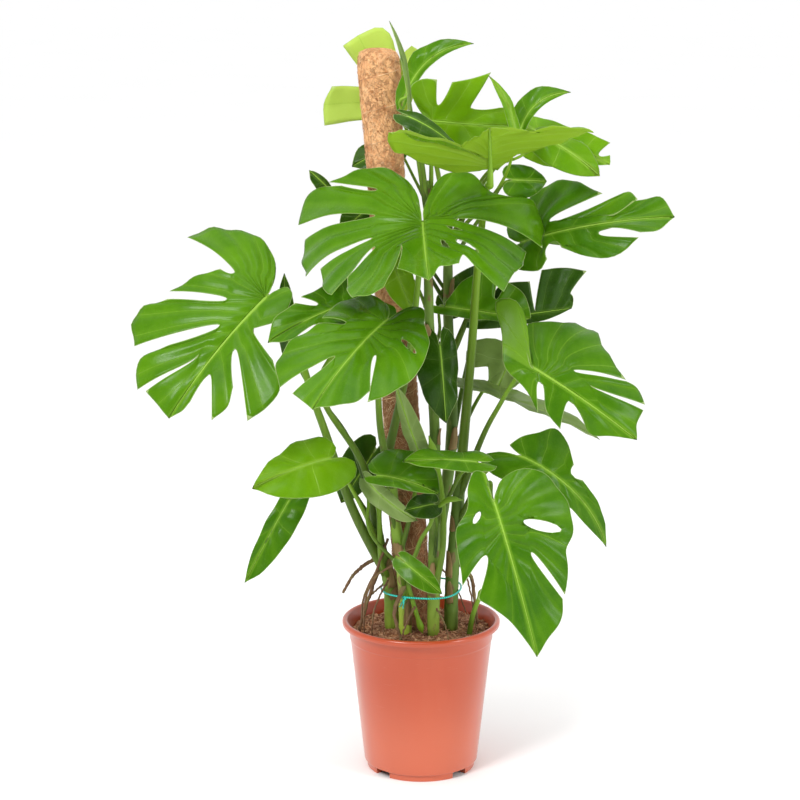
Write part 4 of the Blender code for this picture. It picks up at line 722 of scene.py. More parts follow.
def string_plastic():
    paint = Paint("string_plastic")
    turn = paint.stored("twist").math("SINE")
    # Painted shade and highlight: the raised strands are painted light teal and the grooves between them dark.
    colour = paint.blend(turn * 0.5 + 0.5, (0.0, 0.380, 0.300), (0.030, 0.720, 0.600))
    return paint.finish(colour, 0.35, paint.relief(turn, 0.0004, 0.6))


def floor_paint():
    paint = Paint("floor_paint")
    drift = paint.cloud(paint.place(), 1.5, 2.0)
    colour = paint.blend(drift, (0.90, 0.90, 0.90), (0.92, 0.92, 0.92))
    return paint.finish(colour, 0.7)


# Shapes

def smooth_line(points, count):
    """Evenly spaced points along a smooth curve through the given ones."""
    given = np.array(points, float)
    if len(given) == 2:
        return given[0] + (given[1] - given[0]) * np.linspace(0, 1, count)[:, None]
    knots = np.concatenate([[0], np.cumsum(np.linalg.norm(np.diff(given, axis=0), axis=1))])
    tangents = np.gradient(given, knots, axis=0)
    along = np.linspace(0, knots[-1], count)
    i = np.clip(np.searchsorted(knots, along, side="right") - 1, 0, len(given) - 2)
    span = (knots[i + 1] - knots[i])[:, None]
    s = (along - knots[i])[:, None] / span
    return ((2 * s**3 - 3 * s**2 + 1) * given[i] + (s**3 - 2 * s**2 + s) * span * tangents[i]
            + (-2 * s**3 + 3 * s**2) * given[i + 1] + (s**3 - s**2) * span * tangents[i + 1])


def bezier(a, b, c, d, s):
    s = np.asarray(s, float)[:, None]
    return (1 - s)**3 * a + 3 * s * (1 - s)**2 * b + 3 * s * s * (1 - s) * c + s**3 * d


def leaf_frame(leaf):
    """Joint, chord length, and the directions to the tip, to the right and off the upper face."""
    joint = np.array(leaf["joint"], float)
    reach = np.array(leaf["tip"], float) - joint
    length = np.linalg.norm(reach)
    ahead = reach / length
    turn, rise = (math.radians(angle) for angle in leaf["face"])
    off = np.array([math.sin(turn) * math.cos(rise), -math.cos(turn) * math.cos(rise), math.sin(rise)])
    off = off - (off @ ahead) * ahead
    off = off / np.linalg.norm(off)
    return joint, length, ahead, np.cross(ahead, off), off


def place_on_leaf(leaf, side, x, y, lift=0.0):
    """World points for flat leaf points: x out from the midrib, y from the joint (0) to the tip (1)."""
    joint, length, ahead, right, off = leaf_frame(leaf)
    bend = leaf["bend"]
    turned = 4 * math.atan(2 * bend)
    radius = length / (2 * math.sin(turned / 2))
    arc = radius * turned
    angle = -turned / 2 + y * turned
    forward = radius * (np.sin(angle) + math.sin(turned / 2))
    lifted = radius * (np.cos(angle) - math.cos(turned / 2))
    sign = 1 if side else -1
    spine = joint + forward[..., None] * ahead + lifted[..., None] * off
    spine = spine + (leaf.get("sway", 0) * length * 4 * np.clip(y, -0.3, 1) * (1 - y))[..., None] * right
    up = np.sin(angle)[..., None] * ahead + np.cos(angle)[..., None] * off
    curve = math.radians(leaf["curl"][side]) / (leaf["wide"][side] * arc)
    curve = curve if abs(curve) > 1e-6 else 1e-6
    start = math.radians(leaf["fold"][side])
    tilt = start + curve * x * arc
    across = (np.sin(tilt) - math.sin(start)) / curve - np.sin(tilt) * lift
    raised = (math.cos(start) - np.cos(tilt)) / curve + np.cos(tilt) * lift
    return spine + right * (sign * across)[..., None] + up * raised[..., None]


def finger_edge(root, slit, row, corner, towards, rows, gap):
    """One edge of a finger: with its neighbour as far as the slit, then on its own to the corner."""
    shared = root + (slit - root) * np.linspace(0, 1, row + 1)[:, None]
    outward = (slit - root) / np.linalg.norm(slit - root)
    aside = towards - slit
    aside = aside - (aside @ outward) * outward
    aside = aside / max(1e-6, np.linalg.norm(aside))
    first = slit + aside * gap * 1.33
    second = slit + (corner - slit) * 0.45 + aside * gap * 0.9
    alone = bezier(slit, first, second, corner, np.linspace(0, 1, rows - row + 1)[1:])
    return np.concatenate([shared, alone])


def flat_half(leaf, side, columns, rows):
    """The flat grid of each finger of a half leaf, from the basal lobe to the tip."""
    half = leaf.get("right" if side else "left")
    if half is None:
        half = [[(x * leaf["wide"][side], y) for x, y in HEART]]
    gap = leaf.get("gap", SLIT_HALF_WIDTH)
    ends = [np.array(end, float) for end in half[0::2]]
    slits = [np.array(slit, float) for slit in half[1::2]]
    rib = RIB_HALF_WIDTH / leaf_frame(leaf)[1]
    roots = [np.array([rib, min(0.9, max(0.02 * (i + 1), slit[1] - 0.75 * slit[0]))])
             for i, slit in enumerate(slits)]
    shared = []
    for i, (slit, root) in enumerate(zip(slits, roots)):
        reach = (np.linalg.norm(ends[i][-1] - root) + np.linalg.norm(ends[i + 1][0] - root)) / 2
        shared.append(int(np.clip(round(rows * np.linalg.norm(slit - root) / reach), 1, rows - 1)))
    grids = []
    for i, end in enumerate(ends):
        first, last = i == 0, i == len(ends) - 1
        low_root = np.array([rib, 0.0]) if first else roots[i - 1]
        middle = end.mean(axis=0)
        if first:
            notch = low_root + np.array([0.0, end[0][1] * 0.35])
            turn = end[0] + np.array([-0.04, 0.05]) * leaf["wide"][side]
            low = bezier(low_root, notch, turn, end[0], np.linspace(0, 1, rows + 1))
        else:
            low = finger_edge(low_root, slits[i - 1], shared[i - 1], end[0], middle, rows, gap)
        if last:
            high_root = np.array([rib, low_root[1] + (1 - low_root[1]) * (0.5 if first else 0.35)])
            high = high_root + (np.array([rib * 0.3, 1.0]) - high_root) * np.linspace(0, 1, rows + 1)[:, None]
        else:
            high = finger_edge(roots[i], slits[i], shared[i], end[-1], middle, rows, gap)
        if len(end) == 2:
            step = end[1] - end[0]
            bulge = np.array([step[1], -step[0]])
            bulge = bulge if bulge @ (middle - low_root) > 0 else -bulge
            end = np.array([end[0], (end[0] + end[1]) / 2 + bulge * 0.10, end[1]])
        count = columns * (2 if len(end) > 5 else 1)
        margin = smooth_line(end, count + 1)
        margin[-1] = high[-1]
        u = np.linspace(0, 1, count + 1)[:, None]
        grid = low[None] * (1 - u[..., None]) + high[None] * u[..., None]
        pull = margin - (low[-1] * (1 - u) + high[-1] * u)
        grids.append(grid + pull[:, None, :] * (np.linspace(0, 1, rows + 1) ** 1.5)[None, :, None])
    return grids


class Sheet:
    """The flat points of a leaf with what each one knows: its half, and the vein and pleat it lies on."""

    def __init__(self, leaf, columns, rows):
        self.leaf = leaf
        self.flat, self.side, self.vein, self.pleat, self.faces = [], [], [], [], []
        self.length = leaf_frame(leaf)[1]
        midribs = [self.add_half(side, columns, rows) for side in (0, 1)]
        self.zip_midrib(*midribs)
        self.flat = np.array(self.flat)
        self.side = np.array(self.side)
        self.vein = np.array(self.vein)
        self.pleat = np.array(self.pleat)

    def add_half(self, side, columns, rows):
        known, inner = {}, []
        grids = flat_half(self.leaf, side, columns, rows)
        for number, grid in enumerate(grids):
            across = grid.shape[0]
            veins = self.vein_count(grid)
            width = np.linalg.norm(grid[-1] - grid[0], axis=1) * self.length
            index = np.zeros(grid.shape[:2], int)
            for a in range(across):
                phase = a / (across - 1) * veins % 1.0
                for b in range(rows + 1):
                    key = (round(grid[a, b, 0], 6), round(grid[a, b, 1], 6))
                    if key not in known:
                        known[key] = len(self.flat)
                        self.flat.append(grid[a, b])
                        self.side.append(side)
                        if phase:
                            away = abs(phase - 0.5) / veins * width[b]
                        else:
                            away = width[b] / veins / 2
                        self.vein.append(away)
                        self.pleat.append(math.cos(math.pi * phase) ** 2)
                    index[a, b] = known[key]
            inner += [(grid[a, 0, 1], index[a, 0]) for a in range(across)]
            if number == len(grids) - 1:
                inner += [(grid[-1, b, 1], index[-1, b]) for b in range(rows + 1)]
            for a in range(across - 1):
                for b in range(rows):
                    corners = [index[a, b], index[a, b + 1], index[a + 1, b + 1], index[a + 1, b]]
                    unique = list(dict.fromkeys(corners if side else corners[::-1]))
                    if len(unique) > 2:
                        self.faces.append(unique)
        line = []
        for share, vertex in inner:
            if not line or line[-1][1] != vertex:
                line.append((share, vertex))
        return line

    def vein_count(self, grid):
        """Side veins in a finger: one to about 45 mm of its outer width."""
        margin = np.linalg.norm(np.diff(grid[:, -1], axis=0), axis=1).sum() * self.length
        return int(np.clip(round(margin / 0.045), 1, 6))

    def zip_midrib(self, left, right):
        i = j = 0
        while i < len(left) - 1 or j < len(right) - 1:
            if j == len(right) - 1 or (i < len(left) - 1 and left[i + 1][0] <= right[j + 1][0]):
                self.faces.append([left[i][1], left[i + 1][1], right[j][1]])
                i += 1
            else:
                self.faces.append([left[i][1], right[j + 1][1], right[j][1]])
                j += 1

    def cut_hole(self, side, inner, outer, half_width):
        """A lens-shaped hole: points near its rim move onto it, and the faces inside go."""
        inner, outer = np.array(inner), np.array(outer)
        centre, axis = (inner + outer) / 2, (outer - inner) / 2
        long = np.linalg.norm(axis)
        axis = axis / long
        cross = np.array([-axis[1], axis[0]])
        step = self.flat - centre
        a, b = step @ axis / long, step @ cross / half_width
        reach = np.hypot(a, b)
        here = self.side == side
        near = here & (reach > 0.45) & (reach < 1.45)
        inside = here & (reach <= 0.45)
        moved = centre + ((a / np.maximum(reach, 1e-9))[:, None] * axis * long
                          + (b / np.maximum(reach, 1e-9))[:, None] * cross * half_width)
        self.flat = np.where(near[:, None], moved, self.flat)
        kept = []
        for face in self.faces:
            if any(inside[v] for v in face):
                continue
            if all(near[v] for v in face):
                middle = self.flat[face].mean(axis=0) - centre
                if math.hypot(middle @ axis / long, middle @ cross / half_width) < 0.97:
                    continue
            kept.append(face)
        self.faces = kept

    def placed(self):
        """World points, with pleats between the veins and a slow ripple over the blade."""
        x, y = self.flat[:, 0], self.flat[:, 1]
        out = x * self.length
        seed = sum(map(ord, self.leaf["name"])) * 0.37
        ripple = np.array([noise.noise(Vector((px * 3.1 + s * 5.0, py * 3.1, seed)))
                           for (px, py), s in zip(self.flat, self.side)])
        fade = np.clip(out / 0.012, 0, 1)
        lift = (self.pleat * 0.0034 * min(1.0, self.length / 0.16) + ripple * 0.0060) * fade
        world = np.zeros((len(x), 3))
        for side in (0, 1):
            mine = self.side == side
            world[mine] = place_on_leaf(self.leaf, side, x[mine], y[mine], lift[mine])
        return world


def piece(name, points, faces, materials, smooth=True):
    """A named mesh that rides on the plant's one body."""
    mesh = bpy.data.meshes.new(name)
    mesh.from_pydata([tuple(point) for point in points], [], [list(map(int, face)) for face in faces])
    mesh.update()
    obj = bpy.data.objects.new(name, mesh)
    bpy.context.scene.collection.objects.link(obj)
    for surface in materials:
        mesh.materials.append(surface)
    if smooth:
        mesh.shade_smooth()
    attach(obj, "root")
    return obj


def store(obj, name, values, kind="FLOAT"):
    attribute = obj.data.attributes.new(name, kind, "POINT")
    field = "vector" if kind == "FLOAT_VECTOR" else "value"
    attribute.data.foreach_set(field, np.asarray(values, np.float32).ravel())


def margin_distance(mesh):
    """How far each vertex is from the nearest open edge."""
    bm = bmesh.new()
    bm.from_mesh(mesh)
    rim = [vert.co.copy() for vert in bm.verts if vert.is_boundary]
    rim += [(e.verts[0].co + e.verts[1].co) / 2 for e in bm.edges if e.is_boundary]
    bm.free()
    tree = kdtree.KDTree(len(rim))
    for number, place in enumerate(rim):
        tree.insert(place, number)
    tree.balance()
    return [tree.find(vert.co)[2] for vert in mesh.vertices]


def swept(points, radii, sides):
    """Points and faces of a closed round tube along a line, with one ring of vertices at each point."""
    line = np.asarray(points, float)
    tangents = np.gradient(line, axis=0)
    tangents /= np.linalg.norm(tangents, axis=1)[:, None]
    first = np.cross(tangents[0], (0.0, 1.0, 0.13))
    frame_u = first / np.linalg.norm(first)
    verts = []
    for place, along, radius in zip(line, tangents, radii):
        frame_u = frame_u - (frame_u @ along) * along
        frame_u /= np.linalg.norm(frame_u)
        frame_v = np.cross(along, frame_u)
        for k in range(sides):
            angle = 2 * math.pi * k / sides
            verts.append(place + radius * (math.cos(angle) * frame_u + math.sin(angle) * frame_v))
    faces = []
    for ring in range(len(line) - 1):
        for k in range(sides):
            a, b = ring * sides + k, ring * sides + (k + 1) % sides
            faces.append([a, b, b + sides, a + sides])
    faces.append(list(range(sides))[::-1])
    faces.append([(len(line) - 1) * sides + k for k in range(sides)])
    return verts, faces


def joined(parts):
    """Several (points, faces) as one."""
    verts, faces = [], []
    for points, polygons in parts:
        faces += [[v + len(verts) for v in polygon] for polygon in polygons]
        verts += list(points)
    return verts, faces


# The plant

def stem_point(stem, height):
    line = np.array(stem, float)
    return np.array([np.interp(height, line[:, 2], line[:, axis]) for axis in range(3)])


def build_leaf(name, leaf, skins):
    tone = leaf["tone"]
    small = leaf_frame(leaf)[1] < 0.13
    holes = HOLES.get(name, [])
    columns, rows = (26, 60) if holes else (8, 20) if small else (12, 30)
    sheet = Sheet(leaf, columns, rows)
    for hole in holes:
        sheet.cut_hole(*hole)
    obj = piece(name + "_blade", sheet.placed(), sheet.faces, skins[tone])
    chance = random.Random(name)
    count = len(sheet.flat)
    length = sheet.length
    sign = np.where(sheet.side == 1, 1.0, -1.0)
    flat = np.stack([sheet.flat[:, 0] * sign * length, sheet.flat[:, 1] * length,
                     np.full(count, chance.random() * 3)], axis=1)
    store(obj, "flat", flat, "FLOAT_VECTOR")
    store(obj, "tint", np.full(count, SHADES.get(name, 0.4)))
    store(obj, "rib", sheet.flat[:, 0] * length)
    store(obj, "vein", sheet.vein)
    store(obj, "edge", margin_distance(obj.data))
    shell = obj.modifiers.new("Thickness", "SOLIDIFY")
    shell.thickness = BLADE_THICKNESS
    shell.offset = 0.0
    shell.material_offset = 1
    shell.material_offset_rim = 2
    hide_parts(name)


def build_stalk(name, leaf, stem, start, radius, way, skin):
    """A stalk from the stem up to the blade, a thicker joint there, and on as the midrib to the tip."""
    joint, _, ahead, _, off = leaf_frame(leaf)
    end_radius = max(0.0018, radius * 0.5)
    below = joint - off * (0.6 * end_radius + 0.010) - ahead * 0.0035
    approach = joint - off * 0.8 * end_radius
    stalk = smooth_line([stem_point(stem, start), *way, below, approach], 34)
    shares = np.linspace(0.03, 0.97, 16)
    rib_radii = end_radius * 0.62 * (1 - shares) ** 0.8 + 0.0004
    rib = np.array([place_on_leaf(leaf, 1, np.array(0.0), np.array(share), -0.45 * size)
                    for share, size in zip(shares, rib_radii)])
    t = np.linspace(0, 1, 34)
    knee = 1 + 0.30 * np.exp(-((t - 0.93) / 0.035) ** 2)
    radii = (radius + (end_radius - radius) * t ** 0.8) * knee
    line = np.concatenate([stalk, rib])
    radii = np.concatenate([radii, rib_radii])
    verts, faces = swept(line, radii, 10)
    obj = piece(name + "_stalk", verts, faces, [skin])
    along = np.concatenate([t, 1 + shares])
    store(obj, "along", np.repeat(along, 10))
    # Stalks of leaves painted dark or bright share that painted shade or light.
    tint = {"mid": 0.6, "bright": 0.95, "dark": 0.25, "pale": 0.6}[leaf["tone"]]
    store(obj, "tint", np.full(len(verts), tint))


def build_stem(name, parts, skin):
    foot, top = parts["radii"]
    line = smooth_line(parts["stem"], 60)
    line[0, 2] -= 0.006
    t = np.linspace(0, 1, 60)
    radii = (foot + (top - foot) * t) * (1 + 0.05 * np.abs(np.sin(t * 40)) ** 6)
    radii[-3:] *= np.array([0.85, 0.6, 0.2])
    verts, faces = swept(line, radii, 16)
    obj = piece(name + "_stem", verts, faces, [skin])
    store(obj, "along", np.repeat(t, 16))
    store(obj, "tint", np.full(len(verts), STEM_SHADES[name]))
    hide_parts(name)


def build_shoot(name, radius, way, skin):
    """A bare side stalk, swollen at its end where a new leaf is still rolled up."""
    line = smooth_line(way, 30)
    t = np.linspace(0, 1, 30)
    radii = radius * (1 - 0.25 * t) * (1 + 0.7 * np.exp(-((t - 0.88) / 0.07) ** 2))
    radii[-2:] *= np.array([0.6, 0.2])
    verts, faces = swept(line, radii, 12)
    obj = piece(name, verts, faces, [skin])
    store(obj, "along", np.repeat(0.2 + 0.7 * t, 12))
    store(obj, "tint", np.full(len(verts), 0.7))


def build_peel(name, stem, radii, height, angle, length, skin):
    """A dry strip of an old leaf sheath, wrapped part of the way round a stem and curling off at the top."""
    chance = random.Random(name)
    verts = []
    columns, rows = 7, 9
    spread = chance.uniform(0.5, 1.1)
    for row in range(rows):
        share = row / (rows - 1)
        centre = stem_point(stem, height + length * share)
        radius = np.interp(centre[2], [stem[0][2], stem[-1][2]], radii) * 1.04
        radius += 0.0004 + 0.0035 * share ** 3
        for column in range(columns):
            part = column / (columns - 1) - 0.5
            turn = angle + part * 2 * spread * (1 - 0.75 * share ** 2)
            out = np.array([math.cos(turn), math.sin(turn), 0.0])
            verts.append(centre + out * radius + np.array([0, 0, 0.0015 * chance.uniform(-1, 1)]))
    faces = [[r * columns + c, r * columns + c + 1, (r + 1) * columns + c + 1, (r + 1) * columns + c]
             for r in range(rows - 1) for c in range(columns - 1)]
    peel = piece(name, verts, faces, [skin])
    shell = peel.modifiers.new("Thickness", "SOLIDIFY")
    shell.thickness = 0.0004
    shell.offset = 1.0


def build_root(name, way, radius, skin):
    chance = random.Random(name)
    line = smooth_line(way, 26)
    line[1:-1] += np.array([[chance.uniform(-1, 1) * 0.0007 for _ in range(3)] for _ in range(24)])
    radii = np.linspace(radius, radius * 0.6, 26) * np.array([chance.uniform(0.88, 1.15) for _ in range(26)])
    verts, faces = swept(line, radii, 8)
    piece(name, verts, faces, [skin])


# The pot and what is in it

def turned(name, profile, segments, surface, slot):
    mesh = bpy.data.meshes.new(name)
    mesh.from_pydata([(radius, 0.0, height) for radius, height in profile],
                     [(i, i + 1) for i in range(len(profile) - 1)], [])
    obj = bpy.data.objects.new(name, mesh)
    bpy.context.scene.collection.objects.link(obj)
    mesh.materials.append(surface)
    screw = obj.modifiers.new("Turn", "SCREW")
    screw.steps = segments
    screw.render_steps = segments
    screw.use_merge_vertices = True
    screw.merge_threshold = 0.0001
    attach(obj, "root")
    return obj


def build_pot():
    rim_low = POT_HEIGHT - RIM_HEIGHT
    inner_floor = FOOT_HEIGHT * 0.4 + WALL
    lip = [(RIM_RADIUS - 0.0045 + 0.0042 * math.cos(angle), POT_HEIGHT - 0.0042 + 0.0042 * math.sin(angle))
           for angle in np.linspace(math.radians(170), 0, 10)]
    profile = [
        (0.0, inner_floor),
        (BASE_RADIUS - WALL - 0.004, inner_floor),
        (BASE_RADIUS - WALL, inner_floor + 0.006),
        (NECK_RADIUS - WALL, rim_low - 0.006),
        (RIM_RADIUS - 0.0098, POT_HEIGHT - 0.006),
        *lip,
        (RIM_RADIUS - 0.0007, rim_low + 0.0010),
        (RIM_RADIUS - 0.0013, rim_low + 0.0003),
        (RIM_RADIUS - 0.0030, rim_low),
        (NECK_RADIUS + 0.0024, rim_low - 0.0012),
        (NECK_RADIUS + 0.0010, rim_low - 0.0038),
        (NECK_RADIUS, rim_low - 0.0195),
        (NECK_RADIUS - 0.0003, rim_low - 0.0205),
        (NECK_RADIUS - 0.0010, rim_low - 0.0215),
        (NECK_RADIUS - 0.0014, rim_low - 0.0230),
        (BASE_RADIUS + 0.0004, FOOT_HEIGHT + 0.003),
        (BASE_RADIUS - 0.0001, FOOT_HEIGHT + 0.0012),
        (BASE_RADIUS - 0.0008, FOOT_HEIGHT + 0.0003),
        (BASE_RADIUS - 0.0018, FOOT_HEIGHT),
        (FOOT_RADIUS, FOOT_HEIGHT),
        (FOOT_RADIUS - 0.0005, 0.0006),
        (FOOT_RADIUS - 0.0011, 0.0),
        (FOOT_RADIUS - FOOT_WIDTH, 0.0),
        (FOOT_RADIUS - FOOT_WIDTH - 0.001, 0.0022),
        (0.034, 0.0022),
        (0.033, 0.0),
        (0.0, 0.0),
    ]
    pot = turned("pot_shell", profile, 160, pot_plastic(), "pot_plastic")
    for quarter in range(4):
        bm = bmesh.new()
        bmesh.ops.create_cube(bm, size=1.0)
        width = 2 * FOOT_RADIUS * math.sin(math.radians(NOTCH_ANGLE / 2))
        spin = Matrix.Rotation(math.radians(45 + 90 * quarter), 4, "Z")
        move = Matrix.Translation((FOOT_RADIUS - 0.004, 0, NOTCH_HEIGHT / 2 - 0.004))
        stretch = Matrix.Diagonal((0.030, width, NOTCH_HEIGHT + 0.004, 1))
        bmesh.ops.transform(bm, matrix=spin @ move @ stretch, verts=bm.verts)
        mesh = bpy.data.meshes.new(f"notch_{quarter}")
        bm.to_mesh(mesh)
        bm.free()
        notch = bpy.data.objects.new(f"notch_{quarter}", mesh)
        bpy.context.scene.collection.objects.link(notch)
        notch.hide_render = True
        notch.hide_viewport = True
        cut = pot.modifiers.new(f"Notch {quarter}", "BOOLEAN")
        cut.operation = "DIFFERENCE"
        cut.object = notch
    shade = pot.modifiers.new("Crease", "EDGE_SPLIT")
    shade.split_angle = math.radians(38)
    for polygon in pot.data.polygons:
        polygon.use_smooth = True
    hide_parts("pot")


def soil_height(x, y):
    reach = math.hypot(x, y) / MOUND_RADIUS
    bumps = noise.fractal(Vector((x * 38, y * 38, 0.3)), 1.0, 2.2, 4) * 0.0035
    return SOIL_TOP + SOIL_MOUND * (1 - reach ** 2) - 0.002 * reach ** 6 + bumps


def build_soil():
    rings, spokes = 64, 200
    verts = [(0.0, 0.0, soil_height(0, 0))]
    for ring in range(1, rings + 1):
        for spoke in range(spokes):
            angle = 2 * math.pi * spoke / spokes
            reach = SOIL_RADIUS * ring / rings
            x, y = reach * math.cos(angle), reach * math.sin(angle)
            verts.append((x, y, soil_height(x, y)))
    faces = [[0, 1 + k, 1 + (k + 1) % spokes] for k in range(spokes)]
    for ring in range(rings - 1):
        for k in range(spokes):
            a, b = 1 + ring * spokes + k, 1 + ring * spokes + (k + 1) % spokes
            faces.append([a, a + spokes, b + spokes, b])
    soil = piece("soil_bed", verts, faces, [soil_skin()])
    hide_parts("soil")
    chance = random.Random(7)
    chips, tints = [], []
    for _ in range(1500):
        reach, angle = 0.101 * math.sqrt(chance.random()), chance.uniform(0, 2 * math.pi)
        x, y = reach * math.cos(angle), reach * math.sin(angle)
        bm = bmesh.new()
        bmesh.ops.create_cube(bm, size=1.0)
        for vert in bm.verts:
            vert.co += Vector([chance.uniform(-0.22, 0.22) for _ in range(3)])
        if chance.random() < 0.45:
            size = (chance.uniform(0.006, 0.016), chance.uniform(0.0008, 0.0016), 0.0010)
        else:
            size = (chance.uniform(0.002, 0.007), chance.uniform(0.0015, 0.004), chance.uniform(0.001, 0.003))
        spin = Matrix.Rotation(chance.uniform(0, math.pi), 4, "Z")
        spin = spin @ Matrix.Rotation(chance.uniform(-0.5, 0.5), 4, "Y")
        place = Matrix.Translation((x, y, soil_height(x, y) + 0.0006))
        bmesh.ops.transform(bm, matrix=place @ spin @ Matrix.Diagonal((*size, 1)), verts=bm.verts)
        corners = [vert.co.copy() for vert in bm.verts]
        chips.append((corners, [[v.index for v in face.verts] for face in bm.faces]))
        tints += [chance.random() ** 1.6] * 8
        bm.free()
    verts, faces = joined(chips)
    litter = piece("soil_chips", verts, faces, [chip_skin()], smooth=False)
    store(litter, "tint", tints)


def pole_point(height):
    return POLE_FOOT + POLE_LEAN * (height - POLE_FOOT.z)


def sleeve_radius(height):
    """The coir swells towards its rounded top."""
    heights = [0.21, 0.30, 0.45, 0.60, 0.75, 0.90, 0.97, 1.00, 1.03, 1.06, 1.072, 1.080, 1.0845, SLEEVE_TOP]
    widths = [1.0, 0.98, 1.02, 0.98, 1.0, 1.0, 1.05, 1.10, 1.14, 1.14, 1.10, 0.97, 0.72, 0.35]
    return SLEEVE_RADIUS * float(np.interp(height, heights, widths))


def build_pole():
    sides = 96
    verts, along = [], []
    heights = np.concatenate([np.linspace(SLEEVE_FOOT, 1.05, 360),
                              1.05 + 0.036 * np.linspace(0, 1, 61)[1:] ** 0.6])
    for height in heights:
        centre, radius = pole_point(height), sleeve_radius(height)
        for k in range(sides):
            angle = 2 * math.pi * k / sides
            out = Vector((math.cos(angle), math.sin(angle), 0))
            spot = centre + out * radius
            rough = (noise.fractal(spot * 75, 1.0, 2.1, 4) * 0.0011
                     + noise.fractal(Vector((spot.x * 260, spot.y * 260, spot.z * 90)), 1.0, 2.0, 2) * 0.0004)
            verts.append(centre + out * (radius + rough))
            along.append((height - SLEEVE_FOOT) / (SLEEVE_TOP - SLEEVE_FOOT))
    rows = len(heights)
    faces = [[r * sides + k, r * sides + (k + 1) % sides,
              (r + 1) * sides + (k + 1) % sides, (r + 1) * sides + k]
             for r in range(rows - 1) for k in range(sides)]
    faces.append([(rows - 1) * sides + k for k in range(sides)])
    sleeve = piece("coir_sleeve", verts, faces, [coir_skin()])
    store(sleeve, "along", along)
    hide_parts("pole_sleeve", "pole_stake")
    chance = random.Random(11)
    strands = []
    for _ in range(2600):
        height = 0.225 + (SLEEVE_TOP - 0.232) * chance.random() ** 0.8
        angle = chance.uniform(0, 2 * math.pi)
        slope, bow = chance.uniform(-1.2, 1.2), chance.uniform(-0.5, 0.5)
        length = chance.uniform(0.008, 0.030)
        line = []
        for s in np.linspace(0, 1, 6):
            h = min(SLEEVE_TOP - 0.004, height + length * s * math.cos(slope + bow * s))
            a = angle + length * s * math.sin(slope + bow * s) / SLEEVE_RADIUS
            lift = 0.0002 + 0.0016 * chance.random() * math.sin(math.pi * s)
            line.append(pole_point(h) + Vector((math.cos(a), math.sin(a), 0)) * (sleeve_radius(h) + lift))
        strands.append(swept(line, [0.00022] * 6, 3))
    verts, faces = joined(strands)
    piece("coir_fibres", verts, faces, [fibre_skin()])
    cord = []
    turns = 17
    for s in np.linspace(0, 1, turns * 40):
        h = 0.26 + (1.06 - 0.26) * s
        a = 2 * math.pi * turns * s
        cord.append(pole_point(h) + Vector((math.cos(a), math.sin(a), 0)) * (sleeve_radius(h) + 0.0004))
    verts, faces = swept(cord, [0.00055] * len(cord), 6)
    piece("coir_binding", verts, faces, [fibre_skin()])


def build_tie(surface):
    """Twisted string round all the stems, with a knot and two short ends."""
    count = 240
    line = []
    for i in range(count + 1):
        angle = 2 * math.pi * i / count
        radius = TIE_RADIUS + 0.0004 * math.sin(5 * angle)
        height = TIE_HEIGHT + 0.0012 * math.sin(3 * angle + 1)
        line.append((radius * math.cos(angle), radius * math.sin(angle), height))
    parts = [swept(line, [0.0014] * len(line), 8)]
    turn = math.radians(246)
    knot = Vector((TIE_RADIUS * math.cos(turn), TIE_RADIUS * math.sin(turn), TIE_HEIGHT))
    out = Vector((math.cos(turn), math.sin(turn), 0))
    for reach, drop in ((-0.006, -0.013), (-0.001, -0.015)):
        way = [knot, knot + out * 0.004 + Vector((reach / 2, 0, drop / 2)),
               knot + out * 0.005 + Vector((reach, 0, drop))]
        parts.append(swept(smooth_line(way, 12), np.linspace(0.0012, 0.0008, 12), 8))
    for tilt in (0.0, 1.1, 2.2):
        spin = Matrix.Rotation(tilt, 3, out)
        loop = [knot + out * 0.001 + spin @ (Vector((math.cos(a), 0, math.sin(a))) * 0.0022)
                for a in np.linspace(0, 2 * math.pi, 17)]
        parts.append(swept(loop, [0.0010] * 17, 8))
    verts, faces = joined(parts)
    obj = piece("tie_string", verts, faces, [surface])
    store(obj, "twist", [12 * math.atan2(v[1], v[0]) * 9 + 700 * v[2] for v in verts])
    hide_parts("tie")


def build_plants():
    skins = {tone: [leaf_upper(tone), leaf_under(tone), leaf_edge(tone)] for tone in GREENS}
    for name, leaf in LEAVES.items():
        leaf["name"] = name
        for key in ("wide", "fold", "curl"):
            if not isinstance(leaf[key], tuple):
                leaf[key] = (leaf[key], leaf[key])
        build_leaf(name, leaf, skins)
    stalk, stem, root, sheath = stalk_skin(), stem_skin(), root_skin(), sheath_skin()
    for name, parts in PLANTS.items():
        build_stem(name, parts, stem)
        for leaf_name, (start, radius, way) in parts["stalks"].items():
            build_stalk(leaf_name, LEAVES[leaf_name], parts["stem"], start, radius, way, stalk)
        for number, (radius, way) in enumerate(parts["shoots"]):
            build_shoot(f"{name}_shoot_{number}", radius, way, stalk)
        for number, way in enumerate(parts["roots"]):
            build_root(f"{name}_root_{number}", way, 0.0034, root)
        chance = random.Random(name)
        for number in range(4):
            height = 0.235 + (parts["stem"][-1][2] - 0.30) * (number + chance.random()) / 4
            build_peel(f"{name}_sheath_{number}", parts["stem"], parts["radii"], height,
                       chance.uniform(-2.6, -0.5), chance.uniform(0.020, 0.045), sheath)
    for number, (radius, way) in enumerate(THIN_ROOTS):
        build_root(f"thin_root_{number}", way, radius, root)
    build_shoot("soil_sprout", 0.0042, SPROUT, stalk)


# The studio

def area_light(name, place, target, size, power):
    data = bpy.data.lights.new(name, "AREA")
    data.shape = "RECTANGLE"
    data.size, data.size_y = size
    data.energy = power
    lamp = bpy.data.objects.new(name, data)
    bpy.context.scene.collection.objects.link(lamp)
    lamp.location = place
    lamp.rotation_euler = (Vector(target) - Vector(place)).to_track_quat("-Z", "Y").to_euler()


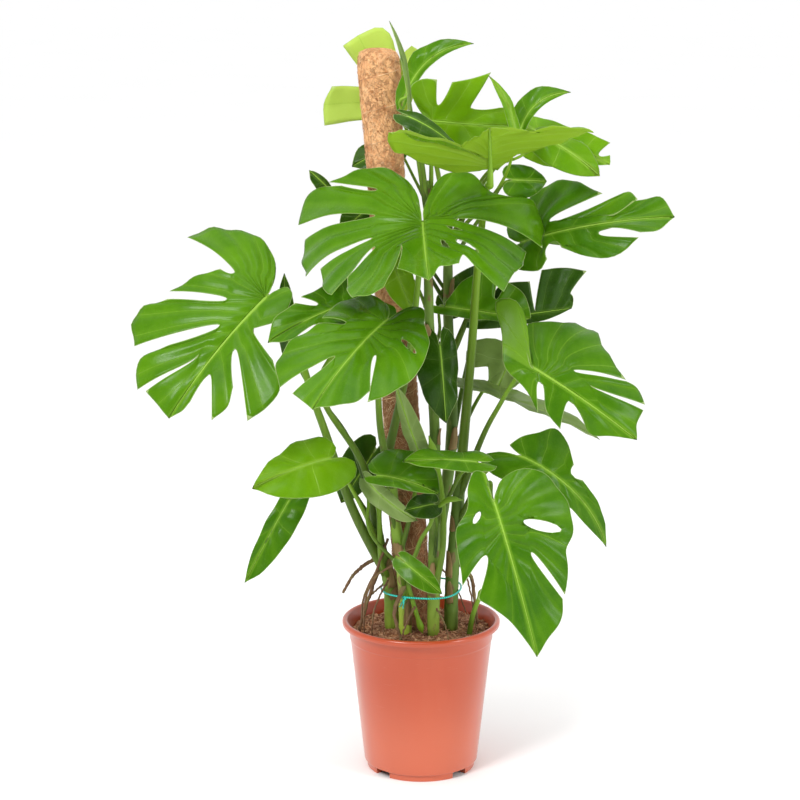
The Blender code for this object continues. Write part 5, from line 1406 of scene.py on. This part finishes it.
def world_ramp(tree, value, given, wanted):
    """The value, carried from the given range to the wanted one."""
    ramp = tree.nodes.new("ShaderNodeMapRange")
    ramp.inputs["From Min"].default_value, ramp.inputs["From Max"].default_value = given
    ramp.inputs["To Min"].default_value, ramp.inputs["To Max"].default_value = wanted
    tree.links.new(value, ramp.inputs["Value"])
    return ramp.outputs[0]


def build_studio():
    scene = bpy.context.scene
    mesh = bpy.data.meshes.new("floor")
    mesh.from_pydata([(-60, -60, 0), (60, -60, 0), (60, 60, 0), (-60, 60, 0)], [], [(0, 1, 2, 3)])
    floor = bpy.data.objects.new("floor", mesh)
    floor.data.materials.append(floor_paint())
    scene.collection.objects.link(floor)
    world = bpy.data.worlds.new("studio")
    world.use_nodes = True
    tree = world.node_tree
    towards = tree.nodes.new("ShaderNodeTexCoord")
    axes = tree.nodes.new("ShaderNodeSeparateXYZ")
    tree.links.new(towards.outputs["Generated"], axes.inputs[0])
    # White behind the object and dimmer towards the front, but white all round at and below the horizon.
    depth = world_ramp(tree, axes.outputs["Y"], (-0.7, 0.35), (0.28, 1.0))
    horizon = world_ramp(tree, axes.outputs["Z"], (0.04, 0.12), (1.0, 0.0))
    lighter = tree.nodes.new("ShaderNodeMath")
    lighter.operation = "MAXIMUM"
    tree.links.new(depth, lighter.inputs[0])
    tree.links.new(horizon, lighter.inputs[1])
    tree.links.new(lighter.outputs[0], tree.nodes["Background"].inputs["Color"])
    scene.world = world
    area_light("key", (-1.5, -2.0, 2.4), (-0.05, 0, 0.6), (0.8, 0.8), 58)
    area_light("side", (2.2, -1.5, 1.5), (0.05, 0, 0.5), (0.6, 1.6), 34)
    # A broad soft light from above and a little in front.
    sun_data = bpy.data.lights.new("sky", "SUN")
    sun_data.energy = 1.3
    sun_data.angle = math.radians(45)
    sun = bpy.data.objects.new("sky", sun_data)
    sun.rotation_euler = (math.radians(20), math.radians(-6), 0)
    scene.collection.objects.link(sun)
    scene.view_settings.view_transform = "Standard"
    camera_data = bpy.data.cameras.new("camera")
    camera_data.sensor_width = 36.0
    camera_data.lens = 99.0
    camera = bpy.data.objects.new("camera", camera_data)
    camera.location = (-0.032, -3.2, 1.244)
    camera.rotation_euler = (math.radians(78.1), 0, 0)
    scene.collection.objects.link(camera)
    scene.camera = camera


build_pot()
build_soil()
build_pole()
build_tie(string_plastic())
build_plants()
build_studio()
